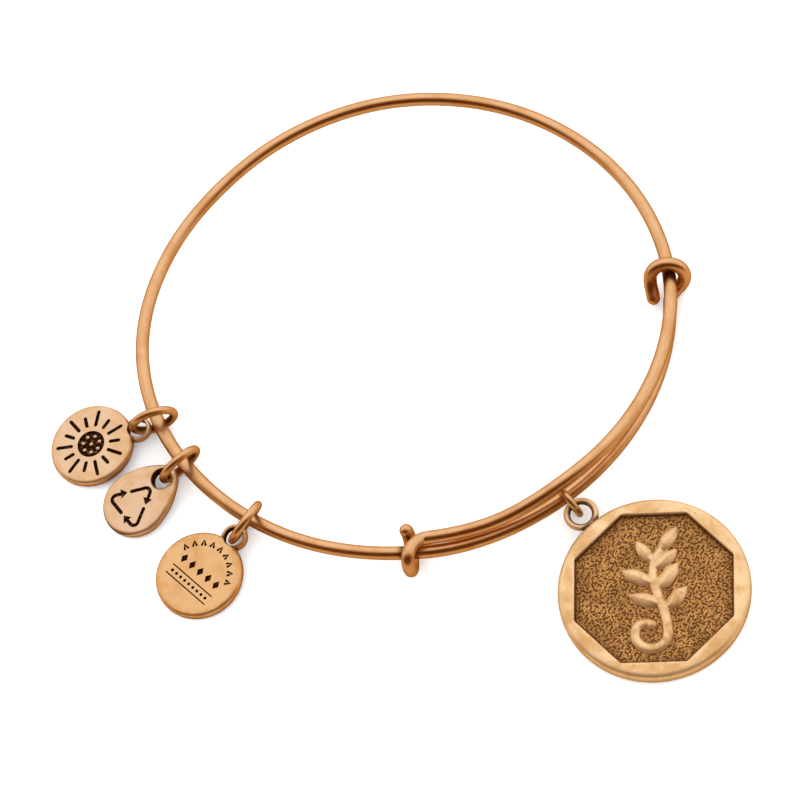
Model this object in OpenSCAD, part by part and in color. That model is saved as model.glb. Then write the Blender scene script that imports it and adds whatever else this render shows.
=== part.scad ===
// Wire bangle that slides open on two wrapped hooks. It carries a round medallion and three small
// charms, each on a jump ring of its own. It lies on its side on a flat surface.
// X points right, Y away and Z up. The origin is the middle of the wrist opening, on the surface.
// Places round the ring are angles in degrees, counted clockwise from the X axis.

/* [Wire ring] */
// Mean diameter of the ring, between wire centres
ring_d = 62; // [58:0.5:67]
// How much longer the ring is one way than the other
ring_oval = 2.8; // [0:0.1:3.6]
// Place of the long diameter
ring_turn = 8; // [0:1:20]
// Diameter of the wire
wire_d = 1.6; // [1.5:0.05:1.7]
// Clear gap between two strands that lie together
strand_gap = 0.15; // [0.1:0.05:0.2]
// Height of the single wire on the far side of the ring, above the surface
far_height = 2.4; // [2.2:0.1:2.8]

/* [Hooks] */
// Place of the right hook
right_hook_at = 13.5; // [10:0.5:18]
// Radius of the right hook, to the wire's centre
right_hook_r = 2.05; // [2:0.05:2.3]
// Slope of the right hook's loop, from the surface
right_hook_slope = 69; // [62:1:80]
// Inward offset of the right hook's middle from the strand that it holds
right_hook_inset = 0.25; // [0:0.05:0.3]
// Place of the left hook
left_hook_at = 107; // [103:0.2:110]
// Radius of the left hook, to the wire's centre
left_hook_r = 2.35; // [2.35:0.05:2.6]
// Sideways step of the left hook from its first leg to its tip
left_hook_pitch = 0.2; // [0:0.05:0.6]

/* [Jump rings] */
// Outer diameter of a small charm's jump ring
small_ring_d = 6.1; // [5.9:0.1:6.5]
// Wire diameter of a small charm's jump ring
small_ring_wire = 1.0; // [0.8:0.05:1.05]
// Outer diameter of the medallion's jump ring
medal_ring_d = 4.8; // [4.75:0.05:5.1]
// Wire diameter of the medallion's jump ring
medal_ring_wire = 0.85; // [0.7:0.05:0.9]
// Width of the cut where a jump ring was bent shut
ring_cut = 0.1; // [0.06:0.02:0.3]

/* [Small charms] */
// Diameter of the sun charm
sun_d = 10.3; // [9.2:0.1:10.6]
// Diameter of the tag charm
tag_d = 10.6; // [9.4:0.1:10.8]
// Thickness of a small charm
charm_t = 1.3; // [1.2:0.05:1.5]
// Rounding of a small charm's edges
charm_round = 0.4; // [0.1:0.05:0.55]
// Outer diameter of a round charm's lug
lug_d = 3.2; // [3:0.1:3.4]
// Hole in a round charm's lug
lug_hole = 2.25; // [2.15:0.05:2.35]
// Thickness of a round charm's lug
lug_t = 0.9; // [0.7:0.05:1]
// Rounding of the lug's edges
lug_round = 0.3; // [0.1:0.05:0.35]
// Distance from a round charm's rim to the middle of its lug
lug_reach = 0.75; // [0.65:0.05:1]
// Depth of the engraved marks
engrave_depth = 0.25; // [0.1:0.05:0.4]
// Width of the engraved strokes
engrave_w = 0.45; // [0.3:0.05:0.55]

/* [Marks of the sun charm] */
// Number of rays
ray_count = 14; // [8:1:16]
// Width of the plain band between the rays and the charm's rounded edge
ray_margin = 0.35; // [0.2:0.05:0.6]
// Radius of the round field
sun_r = 1.7; // [1.4:0.1:1.9]
// Width of the plain ring between the round field and the rays
sun_ring_w = 0.55; // [0.4:0.05:0.7]
// Number of studs round the middle of the field
stud_count = 7; // [5:1:8]
// Radius of a stud
stud_r = 0.28; // [0.2:0.02:0.32]

/* [Marks of the tag charm] */
// Number of ticks along the arc
tick_count = 9; // [5:1:12]
// Width of the fine strokes
fine_w = 0.16; // [0.12:0.02:0.24]
// Number of lozenges in the bold row
lozenge_count = 5; // [3:1:6]
// Width of a lozenge
lozenge_w = 0.84; // [0.6:0.02:0.9]
// Height of a lozenge
lozenge_h = 1.24; // [0.8:0.02:1.4]
// Number of dots between the two rules
dot_count = 9; // [5:1:11]
// Radius of a dot
dot_r = 0.2; // [0.14:0.02:0.22]

/* [Teardrop charm] */
// Radius of the teardrop's broad end
tear_body_r = 4.05; // [3.8:0.05:4.3]
// Radius of the teardrop's narrow end
tear_tip_r = 1.85; // [1.7:0.05:2.1]
// Distance between the middles of the two ends
tear_len = 4.3; // [3.9:0.05:4.6]
// Radius of the teardrop's sides
tear_side_r = 9; // [8:0.5:14]
// Hole in the teardrop's narrow end
tear_hole = 2.5; // [2.3:0.05:2.6]
// Distance of the arrows' corners from the middle of their triangle
arrow_reach = 3.25; // [2.9:0.05:3.4]
// Radius of an arrow's bend
arrow_bend_r = 0.55; // [0.4:0.05:0.7]
// Half width of an arrow's head
arrow_head_w = 0.62; // [0.5:0.02:0.7]

/* [Medallion] */
// Diameter of the medallion
medal_d = 22.3; // [20:0.1:24]
// Thickness of the medallion
medal_t = 2.0; // [1.8:0.1:2.4]
// Rounding of the medallion's edges
medal_round = 0.8; // [0.4:0.05:0.9]
// Width of the eight-sided recess, across its flats
recess_across = 18.3; // [16:0.1:18.6]
// Depth of the recess
recess_depth = 0.55; // [0.4:0.05:0.8]
// Outer diameter of the eye that is soldered to the rim
eye_d = 4.1; // [3.9:0.1:4.3]
// Hole in the eye
eye_hole = 2.5; // [2.3:0.05:2.6]
// Overlap of the eye and the rim
eye_sink = 0.25; // [0.2:0.05:0.4]
// Place of the eye, leftwards from the top of the sprig
eye_turn = 41; // [20:1:60]
// Width of the sprig's stem
stem_w = 1.1; // [0.8:0.05:1.3]
// Length of a leaf
leaf_l = 4.1; // [3:0.1:4.3]
// Width of a leaf
leaf_w = 1.8; // [1.2:0.1:2]
// Width of the step round the sprig's crown
crown_inset = 0.22; // [0.1:0.02:0.3]

/* [Resting places] */
// Place of the sun charm's jump ring
sun_at = 178.5; // [177:0.5:181]
// Place of the teardrop's jump ring
tear_at = 166; // [164:0.5:168]
// Place of the tag's jump ring
tag_at = 145; // [142:0.5:149]
// Place of the medallion's jump ring
medal_at = 71; // [64:0.5:78]

/* [Hidden] */

copper = "#e1a064";
gold = "#eec28a";
wire_sides = 14;
station_step = 4;
plate_fn = 96;
curve_fn = 48;
section_fn = 24;
dot_fn = 16;
clear = 0.12;
wire_r = wire_d / 2;
pitch = wire_d + strand_gap;
full_turn = 360;
overlap = left_hook_at - right_hook_at;

// Heights of the wire's centre where something sets them. The inner strand passes over the medallion's
// ring at the height that clears the ring's shoulder.
floor_height = wire_r;
upper_height = floor_height + pitch;
shoulder = 73;
shoulder_reach = medal_ring_d / 2 + clear + wire_r;
medal_ring_height = medal_ring_d / 2;
over_ring_height = medal_ring_height + shoulder_reach * sin(shoulder);

function unit(v) = v / norm(v);
function mix(a, b, t) = a + (b - a) * t;
function reversed(list) = [for (i = [len(list) - 1 : -1 : 0]) list[i]];
function bezier(a, b, c, d, t) =
    a * pow(1 - t, 3) + b * 3 * t * pow(1 - t, 2) + c * 3 * t * t * (1 - t) + d * pow(t, 3);
function arc(mid, r, from, to, steps) = [
    for (i = [0 : steps]) let (a = mix(from, to, i / steps)) mid + r * [cos(a), sin(a)]
];

// Run of the wire from the right hook round the ring and back over itself to the left hook.
// Columns: share of the stretch, outward shift in strand pitches, height of the wire's centre.
outer_rows = [
    [0.045, 0.03, mix(floor_height, upper_height, 0.03)],
    [0.20, 0.14, mix(floor_height, upper_height, 0.26)],
    [0.34, 0.28, mix(floor_height, upper_height, 0.5)],
    [0.60, 0.57, medal_ring_height + clear],
    [0.80, 0.57, mix(floor_height, upper_height, 1.03)],
    [0.92, 0.45, upper_height],
    [1.00, 0.26, upper_height]
];
single_rows = [
    [0.06, 0.02, mix(upper_height, far_height, 0.5)],
    [0.19, -0.22, far_height],
    [0.34, 0.13, far_height],
    [0.43, -0.03, far_height],
    [0.50, -0.15, far_height],
    [0.58, 0.00, far_height],
    [0.66, 0.09, far_height],
    [0.75, -0.02, mix(far_height, upper_height, 0.25)],
    [0.84, -0.10, mix(far_height, upper_height, 0.5)],
    [0.92, 0.02, mix(far_height, upper_height, 0.75)],
    [1.00, 0.22, upper_height]
];
inner_rows = [
    [0.15, 0.26, mix(upper_height, over_ring_height, 0.2)],
    [0.30, 0.32, mix(upper_height, over_ring_height, 0.46)],
    [0.46, 0.42, mix(upper_height, over_ring_height, 0.8)],
    [0.61, 0.43, mix(upper_height, over_ring_height, 1.02)],
    [0.77, 0.16, mix(upper_height, over_ring_height, 0.6)],
    [0.87, -0.07, mix(upper_height, over_ring_height, 0.49)],
    [0.955, -0.27, mix(upper_height, over_ring_height, 0.46)]
];
run_rows = concat(
    [for (r = outer_rows) [right_hook_at + r[0] * overlap, r[1] * pitch, r[2]]],
    [for (r = single_rows) [left_hook_at + r[0] * (full_turn - overlap), r[1] * pitch, r[2]]],
    [for (r = inner_rows) [full_turn + right_hook_at + r[0] * overlap, r[1] * pitch, r[2]]]
);
run_start = run_rows[0][0];
run_end = run_rows[len(run_rows) - 1][0];

// Smooth curve through the rows of a table, for one of its columns
function slope(rows, i, col) =
    let (j = max(i - 1, 0), k = min(i + 1, len(rows) - 1))
    (rows[k][col] - rows[j][col]) / (rows[k][0] - rows[j][0]);
function smooth(rows, x, col) =
    let (
        i = max([for (k = [0 : len(rows) - 2]) if (k == 0 || rows[k][0] <= x) k]),
        h = rows[i + 1][0] - rows[i][0],
        t = (x - rows[i][0]) / h
    )
    bezier(rows[i][col], rows[i][col] + slope(rows, i, col) * h / 3,
           rows[i + 1][col] - slope(rows, i + 1, col) * h / 3, rows[i + 1][col], t);

function outward(at) = [cos(at), -sin(at), 0];
function onward(at) = [-sin(at), -cos(at), 0];
function ring_radius(at) =
    let (a = ring_d / 2 + ring_oval / 4, b = ring_d / 2 - ring_oval / 4)
    a * b / sqrt(pow(b * cos(at - ring_turn), 2) + pow(a * sin(at - ring_turn), 2));
function run_radius(at) = ring_radius(at) + smooth(run_rows, at, 1);
function run_point(at) = outward(at) * run_radius(at) + [0, 0, smooth(run_rows, at, 2)];
function run_heading(at) = unit(run_point(at + 0.5) - run_point(at - 0.5));

// Right hook: the wire's first end, wrapped up and over the inner strand
right_leave_angle = -40;
right_tip_along = 1.85;
right_tip_drop = 1.2;
right_tip_dip = 0.45;
right_tip_leave_angle = 156;
right_hook_mid = run_point(full_turn + right_hook_at) - right_hook_inset * outward(right_hook_at);
right_hook_up = -cos(right_hook_slope) * onward(right_hook_at) + [0, 0, sin(right_hook_slope)];
right_tip = right_hook_mid - right_hook_r * outward(right_hook_at)
    + right_tip_along * onward(right_hook_at) - [0, 0, right_tip_drop];
function right_hook_point(angle) =
    right_hook_mid + right_hook_r * (cos(angle) * outward(right_hook_at) + sin(angle) * right_hook_up);
function right_hook_heading(angle) = sin(angle) * outward(right_hook_at) - cos(angle) * right_hook_up;

// Left hook: the wire's other end, wrapped over, round and under the outer strand
left_start_angle = 35;
left_tip_angle = -205;
left_hook_mid = outward(left_hook_at) * run_radius(left_hook_at) + [0, 0, left_hook_r + wire_r];
function left_hook_point(angle) =
    left_hook_mid + left_hook_r * (cos(angle) * outward(left_hook_at) + [0, 0, sin(angle)])
    + onward(left_hook_at) * left_hook_pitch
      * ((left_start_angle - angle) / (left_start_angle - left_tip_angle) - 0.5);
function left_hook_heading(angle) = unit(left_hook_point(angle - 1) - left_hook_point(angle + 1));

// Centre line of the whole wire, from the tip of the right hook to the tip of the left one
tip_pull = 1;
right_turn_pull = 0.9;
right_turn_reach = 1.1;
left_turn_pull = 1.5;
left_turn_reach = 1.2;
hook_step = 12;
turn_steps = 7;
right_tip_leave = right_hook_point(right_tip_leave_angle);
right_tip_path = [
    for (i = [0 : turn_steps - 1])
        bezier(right_tip, right_tip - tip_pull * (onward(right_hook_at) - [0, 0, right_tip_dip]),
               right_tip_leave - tip_pull * right_hook_heading(right_tip_leave_angle), right_tip_leave,
               i / turn_steps)
];
right_hook_path = [
    for (a = [right_tip_leave_angle : -hook_step : right_leave_angle + hook_step / 2]) right_hook_point(a)
];
right_leave = right_hook_point(right_leave_angle);
right_turn_path = [
    for (i = [0 : turn_steps - 1])
        bezier(right_leave, right_leave + right_hook_heading(right_leave_angle) * right_turn_pull,
               run_point(run_start) - run_heading(run_start) * right_turn_reach,
               run_point(run_start), i / turn_steps)
];
run_steps = round((run_end - run_start) / station_step);
run_path = [for (i = [0 : run_steps]) run_point(mix(run_start, run_end, i / run_steps))];
left_start = left_hook_point(left_start_angle);
left_turn_path = [
    for (i = [1 : turn_steps - 1])
        bezier(run_point(run_end), run_point(run_end) + run_heading(run_end) * left_turn_reach,
               left_start - left_hook_heading(left_start_angle) * left_turn_pull,
               left_start, i / turn_steps)
];
left_hook_path = [
    for (a = [left_start_angle : -hook_step : left_tip_angle]) left_hook_point(a)
];
wire_path = concat(right_tip_path, right_hook_path, right_turn_path,
                   run_path, left_turn_path, left_hook_path);

// Round bar swept along a path, with domed ends
function tangent(path, i) = unit(path[min(i + 1, len(path) - 1)] - path[max(i - 1, 0)]);
function carried(v, t) = unit(v - t * (v * t));
dome_angles = [75, 45, 20];
module swept_bar(path, r, sides) {
    n = len(path);
    tangents = [for (i = [0 : n - 1]) tangent(path, i)];
    first_side = carried([0, 0, 1], tangents[0]);
    side_dirs = [
        for (i = 0, v = first_side; i < n; i = i + 1, v = carried(v, tangents[min(i, n - 1)])) v
    ];
    // Each station: middle of the section, its radius, and the path point whose directions it takes
    stations = concat(
        [for (a = dome_angles) [path[0] - tangents[0] * r * sin(a), r * cos(a), 0]],
        [for (i = [0 : n - 1]) [path[i], r, i]],
        [for (a = reversed(dome_angles)) [path[n - 1] + tangents[n - 1] * r * sin(a), r * cos(a), n - 1]]
    );
    m = len(stations);
    points = [
        for (s = stations) for (k = [0 : sides - 1])
            let (u = side_dirs[s[2]], w = cross(tangents[s[2]], u), a = 360 * k / sides)
            s[0] + s[1] * (cos(a) * u + sin(a) * w)
    ];
    polyhedron(points, tube_faces(m, sides), convexity = 10);
}
// Faces of a closed tube of m rings with n points each
function tube_faces(m, n) = concat(
    [for (i = [0 : m - 2]) for (k = [0 : n - 1])
        let (a = i * n + k, b = i * n + (k + 1) % n) each [[a, b + n, b], [a, a + n, b + n]]],
    [[for (k = [0 : n - 1]) k], [for (k = [n - 1 : -1 : 0]) (m - 1) * n + k]]
);

module bangle_wire() {
    color(copper) swept_bar(wire_path, wire_r, wire_sides);
}

// Jump rings stand on the surface. Each row sets one ring, and how its charm lies. Columns: place,
// outer diameter, wire diameter, outward shift in shares of the bangle's wire, turn from square,
// lean, charm's direction from the place, place of the charm's hole below the ring's outermost
// point, and the charm's shift towards the bangle in shares of the ring's wire.
sun_ring = [sun_at, small_ring_d, small_ring_wire, 0.25, -2.5, -8, -7, 26, 0.15];
tear_ring = [tear_at, small_ring_d, small_ring_wire, 0.33, 8, -15, 3.5, 22, -0.25];
tag_ring = [tag_at, small_ring_d, small_ring_wire, 0.49, 1, -22, -8.5, 26, 0.3];
medal_ring = [medal_at, medal_ring_d, medal_ring_wire, 0.36, -4, 8, 2, -8, -0.65];

function place(ring) = ring[0];
function ring_wire(ring) = ring[2];
function ring_r(ring) = (ring[1] - ring[2]) / 2;
function shift(ring) = ring[3] * wire_d;
function ring_azimuth(ring) = ring[4] - ring[0];
function lean(ring) = ring[5];
function facing(ring) = ring[6] - ring[0];
function hang(ring) = ring[7];
function slack(ring) = ring[8] * ring[2];
function ring_mid(ring) =
    outward(place(ring)) * (run_radius(place(ring)) + shift(ring))
    + [0, 0, ring_r(ring) * cos(lean(ring)) + ring_wire(ring) / 2];
// Point on the ring's centre line, by its angle below the ring's outermost point
function ring_point(ring, angle) =
    let (a = ring_azimuth(ring), out = [cos(a), sin(a), 0], along = [-sin(a), cos(a), 0])
    ring_mid(ring) + ring_r(ring) * (cos(angle) * out
        + sin(angle) * (sin(lean(ring)) * along - [0, 0, cos(lean(ring))]));

cut_at = -125;
module jump_ring(ring) {
    cut_angle = ring_cut / ring_r(ring) * 180 / PI;
    translate(ring_mid(ring))
        rotate([0, 0, ring_azimuth(ring)]) rotate([90 + lean(ring), 0, 0])
        rotate([0, 0, cut_at + cut_angle / 2])
        rotate_extrude(angle = 360 - cut_angle, $fn = curve_fn)
        translate([ring_r(ring), 0]) circle(d = ring_wire(ring), $fn = section_fn);
}

module sun_jump_ring() {
    color(copper) jump_ring(sun_ring);
}
module teardrop_jump_ring() {
    color(copper) jump_ring(tear_ring);
}
module tag_jump_ring() {
    color(copper) jump_ring(tag_ring);
}
module medallion_jump_ring() {
    color(gold) jump_ring(medal_ring);
}

// A charm is drawn flat, with its hole at the origin and its middle towards -X. Here it is hung on
// its ring, with the far edge of its back on the surface. reach runs from the hole to that edge's
// rounding.
module hung(ring, reach, thickness) {
    hole_at = ring_point(ring, hang(ring));
    tilt = asin((hole_at[2] - thickness / 2) / reach);
    translate(hole_at - slack(ring) * [cos(facing(ring)), sin(facing(ring)), 0])
        rotate([0, 0, facing(ring) + 180]) rotate([0, -tilt, 0]) children();
}

// Round plate with rounded edges, its middle at half thickness
function quarter(mid, r, from) = arc(mid, r, from, from + 90, 6);
module round_plate(r, t, edge) {
    rotate_extrude($fn = plate_fn)
        polygon(concat([[0, -t / 2]], quarter([r - edge, edge - t / 2], edge, -90),
                       quarter([r - edge, t / 2 - edge], edge, 0), [[0, t / 2]]));
}

// Outline of a stroke of even width with round ends, along a list of points
function stroke_side(path, w, side) = [
    for (i = [0 : len(path) - 1])
        let (t = tangent(path, i)) path[i] + side * w / 2 * [-t[1], t[0]]
];
function stroke_cap(end, t, w) = let (a = atan2(t[1], t[0])) arc(end, w / 2, a + 75, a - 75, 5);
function stroke(path, w) = concat(
    stroke_side(path, w, 1),
    stroke_cap(path[len(path) - 1], tangent(path, len(path) - 1), w),
    reversed(stroke_side(path, w, -1)),
    stroke_cap(path[0], -tangent(path, 0), w)
);

module engraved() {
    translate([0, 0, charm_t / 2 - engrave_depth]) linear_extrude(charm_t) children();
}

// Round charm on its ring, with a lug, a hole through it and its marks
module round_charm(ring, size) {
    lug_offset = size / 2 + lug_reach;
    hung(ring, lug_offset + size / 2 - charm_round, charm_t) difference() {
        union() {
            translate([-lug_offset, 0, 0]) round_plate(size / 2, charm_t, charm_round);
            round_plate(lug_d / 2, lug_t, lug_round);
        }
        cylinder(d = lug_hole, h = 2 * charm_t, center = true, $fn = curve_fn);
        translate([-lug_offset, 0, 0]) engraved() children();
    }
}

// Sun: a round field with studs, and rays of two lengths round it
stud_ring_share = 0.62;
short_ray_share = 0.6;
ray_from = sun_r + sun_ring_w + engrave_w / 2;
ray_to = sun_d / 2 - charm_round - ray_margin - engrave_w / 2;
module sun_marks() {
    difference() {
        circle(r = sun_r, $fn = curve_fn);
        circle(r = stud_r, $fn = dot_fn);
        for (i = [0 : stud_count - 1])
            rotate(360 * i / stud_count) translate([sun_r * stud_ring_share, 0])
                circle(r = stud_r, $fn = dot_fn);
    }
    for (i = [0 : ray_count - 1])
        rotate(360 * (i + 0.5) / ray_count) {
            end = mix(ray_from, ray_to, i % 2 == 0 ? 1 : short_ray_share);
            polygon(stroke([[ray_from, 0], [end, 0]], engrave_w));
        }
}
module sun_charm() {
    color(copper) round_charm(sun_ring, sun_d) sun_marks();
}

// Tag: an arc of ticks, a bold row of lozenges, and a row of dots between two fine rules. Places and
// lengths are shares of the charm's diameter.
tick_arc = [22, 158];
tick_r = tag_d * 0.37;
tick_l = tag_d * 0.054;
tick_h = tag_d * 0.04;
tick_w = 1.5 * fine_w;
bold_row_l = tag_d * 0.51;
bold_row_y = tag_d * 0.034;
rule_l = tag_d * 0.63;
rule_rows = tag_d * [-0.093, -0.21];
dot_row_l = tag_d * 0.53;
module tag_marks() {
    for (i = [0 : tick_count - 1])
        rotate(mix(tick_arc[0], tick_arc[1], i / (tick_count - 1))) translate([tick_r, 0])
            polygon(stroke([[-tick_l / 2, -tick_h / 2], [tick_l / 2, 0], [-tick_l / 2, tick_h / 2]], tick_w));
    for (i = [0 : lozenge_count - 1])
        translate([mix(-0.5, 0.5, i / (lozenge_count - 1)) * bold_row_l, bold_row_y])
            polygon([[-lozenge_w / 2, 0], [0, -lozenge_h / 2], [lozenge_w / 2, 0], [0, lozenge_h / 2]]);
    for (y = rule_rows)
        translate([0, y]) square([rule_l, fine_w], center = true);
    for (i = [0 : dot_count - 1])
        translate([mix(-0.5, 0.5, i / (dot_count - 1)) * dot_row_l, (rule_rows[0] + rule_rows[1]) / 2])
            circle(r = dot_r, $fn = dot_fn);
}
tag_marks_turn = -90;
module tag_charm() {
    color(copper) round_charm(tag_ring, tag_d) rotate(tag_marks_turn) tag_marks();
}

// Teardrop outline, drawn in by inset: a small round end at the origin, a broad one at -X, bowed sides
function tear_outline(inset) =
    let (
        near = tear_side_r - tear_body_r,
        far = tear_side_r - tear_tip_r,
        x = (near * near - far * far - tear_len * tear_len) / (2 * tear_len),
        y = sqrt(far * far - x * x),
        tip_a = atan2(y, -x),
        body_a = atan2(y, -(x + tear_len)),
        upper = concat(
            arc([0, 0], tear_tip_r - inset, 0, tip_a, 7),
            arc([x, -y], tear_side_r - inset, tip_a + 3, body_a - 3, 4),
            arc([-tear_len, 0], tear_body_r - inset, body_a, 180, 11))
    )
    concat(upper, [for (i = [len(upper) - 2 : -1 : 1]) [upper[i][0], -upper[i][1]]]);
function tear_level(a, mid) = [charm_round * (1 - cos(a)), mid + charm_round * sin(a)];
module tear_plate() {
    mid = charm_t / 2 - charm_round;
    levels = concat([for (a = [-90 : 30 : 0]) tear_level(a, -mid)],
                    [for (a = [0 : 30 : 90]) tear_level(a, mid)]);
    rings = [for (l = levels) [for (p = tear_outline(l[0])) [p[0], p[1], l[1]]]];
    polyhedron([for (r = rings) each r], tube_faces(len(rings), len(rings[0])), convexity = 4);
}

// Three arrows that chase each other round a triangle, each bent at a corner. The lengths of the tail,
// the shaft and the head are shares of the triangle's side.
arrow_side = arrow_reach * sqrt(3);
arrow_tail = arrow_side * 0.31;
arrow_shaft = arrow_side * 0.11;
arrow_head = arrow_side * 0.15;
arrow_shift = 0.3;
module bent_arrow() {
    bend = arc([arrow_reach - 2 * arrow_bend_r, 0], arrow_bend_r, 60, -60, 6);
    tail_dir = [cos(150), sin(150)];
    head_dir = [cos(210), sin(210)];
    across = [-head_dir[1], head_dir[0]] * arrow_head_w;
    head_at = bend[len(bend) - 1] + head_dir * arrow_shaft;
    polygon(stroke(concat([bend[0] + tail_dir * arrow_tail], bend, [head_at]), engrave_w));
    polygon([head_at + across, head_at + head_dir * arrow_head, head_at - across]);
}
module teardrop_charm() {
    color(copper) hung(tear_ring, tear_len + tear_body_r - charm_round, charm_t)
        difference() {
            tear_plate();
            cylinder(d = tear_hole, h = 2 * charm_t, center = true, $fn = curve_fn);
            translate([-tear_len - arrow_shift, 0, 0]) engraved()
                for (i = [0 : 2]) rotate(120 * i) bent_arrow();
        }
}

// Sprig, drawn upright round the medallion's middle: a stem whose foot curls up, and its leaves.
// Its places are shares of the recess's width.
curl_mid = recess_across * [-0.016, -0.3];
curl_r = recess_across * 0.104;
curl_step = recess_across * 0.036;
curl_end = 60;
stem_foot = curl_mid + [curl_r, 0];
stem_top = recess_across * [0.038, 0.257];
stem_foot_pull = recess_across * [0.005, 0.197];
stem_top_pull = recess_across * [-0.131, -0.186];
stem_steps = 12;
stem_path = [
    for (i = [0 : stem_steps])
        bezier(stem_foot, stem_foot + stem_foot_pull, stem_top + stem_top_pull, stem_top, i / stem_steps)
];
curl_path = concat(
    arc(curl_mid, curl_r, -15, -180, 11),
    arc(curl_mid - [curl_step, 0], curl_r - curl_step, 165, curl_end, 7)
);
vine_path = concat(reversed(stem_path), curl_path);
// Columns: share of the stem, side, lean from the stem, size
leaf_rows = [
    [0.25, -1, 58, 1.0], [0.33, 1, 52, 1.0], [0.5, -1, 54, 1.05],
    [0.58, 1, 50, 1.05], [0.75, -1, 46, 0.95], [0.83, 1, 46, 0.9], [1, 1, -4, 0.95]
];
// Leaf between two arcs, its foot at the origin, drawn in by inset
leaf_steps = 8;
function leaf_arc(l, w, inset, side, steps) =
    let (
        r = (l * l / 4 + w * w / 4) / w,
        mid = [l / 2, side * (w / 2 - r)],
        half = acos((r - w / 2) / (r - inset))
    )
    [for (i = steps) let (a = mix(half, -half, i / leaf_steps)) mid + (r - inset) * [sin(a), side * cos(a)]];
function leaf_outline(l, w, inset) = concat(
    leaf_arc(l, w, inset, 1, [0 : leaf_steps]), leaf_arc(l, w, inset, -1, [leaf_steps - 1 : -1 : 1]));
module sprig_layer(inset) {
    polygon(stroke(vine_path, stem_w - 2 * inset));
    for (row = leaf_rows) {
        i = round(row[0] * stem_steps);
        t = tangent(stem_path, i);
        translate(stem_path[i]) rotate(atan2(t[1], t[0]) + row[1] * row[2])
            polygon(leaf_outline(leaf_l * row[3], leaf_w * row[3], inset));
    }
}

// Medallion: a domed rim round an eight-sided recess, the raised sprig, and a soldered eye
eye_wire = (eye_d - eye_hole) / 2;
eye_offset = medal_d / 2 + eye_d / 2 - eye_sink;
recess_floor = medal_t / 2 - recess_depth;
crown_share = 0.72;
sprig_root = 0.05;
module medallion() {
    color(gold) hung(medal_ring, eye_offset + medal_d / 2 - medal_round, medal_t)
        union() {
            rotate_extrude($fn = curve_fn)
                translate([(eye_d - eye_wire) / 2, 0]) circle(d = eye_wire, $fn = section_fn);
            translate([-eye_offset, 0, 0]) rotate(-eye_turn - 90) {
                difference() {
                    round_plate(medal_d / 2, medal_t, medal_round);
                    translate([0, 0, recess_floor]) linear_extrude(medal_t)
                        rotate(22.5) circle(d = recess_across / cos(22.5), $fn = 8);
                }
                translate([0, 0, recess_floor - sprig_root]) {
                    linear_extrude(sprig_root + recess_depth * crown_share) sprig_layer(0);
                    linear_extrude(sprig_root + recess_depth) sprig_layer(crown_inset);
                }
            }
        }
}

bangle_wire();
medallion();
medallion_jump_ring();
sun_charm();
sun_jump_ring();
teardrop_charm();
teardrop_jump_ring();
tag_charm();
tag_jump_ring();
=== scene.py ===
"""Charm bangle: finishes, finer metalwork and a studio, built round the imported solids.

Everything is in metres in the solids' own frame, with Z up. Sizes in the classes are in millimetres
and are brought to metres when a piece is laid in its place.
"""

import logging
import math
from contextlib import contextmanager
from dataclasses import dataclass
from enum import Enum
from typing import Any, Callable, Dict, Iterator, List, Sequence, Tuple

import bpy
from mathutils import Matrix, Vector


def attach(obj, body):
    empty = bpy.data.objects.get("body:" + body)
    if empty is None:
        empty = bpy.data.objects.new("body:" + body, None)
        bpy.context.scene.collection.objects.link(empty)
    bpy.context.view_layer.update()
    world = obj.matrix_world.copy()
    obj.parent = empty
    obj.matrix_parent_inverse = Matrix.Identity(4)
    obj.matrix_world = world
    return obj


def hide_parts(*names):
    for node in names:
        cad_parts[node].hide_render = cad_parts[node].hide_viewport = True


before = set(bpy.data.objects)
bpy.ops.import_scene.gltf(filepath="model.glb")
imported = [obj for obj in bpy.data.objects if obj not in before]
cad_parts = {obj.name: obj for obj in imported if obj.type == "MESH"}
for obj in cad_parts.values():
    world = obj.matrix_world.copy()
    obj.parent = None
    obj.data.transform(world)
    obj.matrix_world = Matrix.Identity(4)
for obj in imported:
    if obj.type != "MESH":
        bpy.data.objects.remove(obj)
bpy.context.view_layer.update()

LOG = logging.getLogger("charm_bangle")
BODY = "root"
MM = 0.001
WELD = 0.001
# Angles in degrees: past the first an edge stays sharp, and under the second two faces are one.
SHARP = 32
FLAT = 0.1
Colour = Tuple[float, float, float]
Palette = Dict[str, Colour]
Place = Tuple[float, float, float]
Point = Tuple[float, float]
Span = Tuple[float, float]


class Slot(Enum):
    """Material slots."""

    WIRE = "wire_metal"
    CHARM = "charm_metal"
    MEDALLION = "medallion_metal"


class Cut(Enum):
    """Ways in which one solid works on another."""

    OUT = "DIFFERENCE"
    ON = "UNION"


# Shader kit


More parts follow.
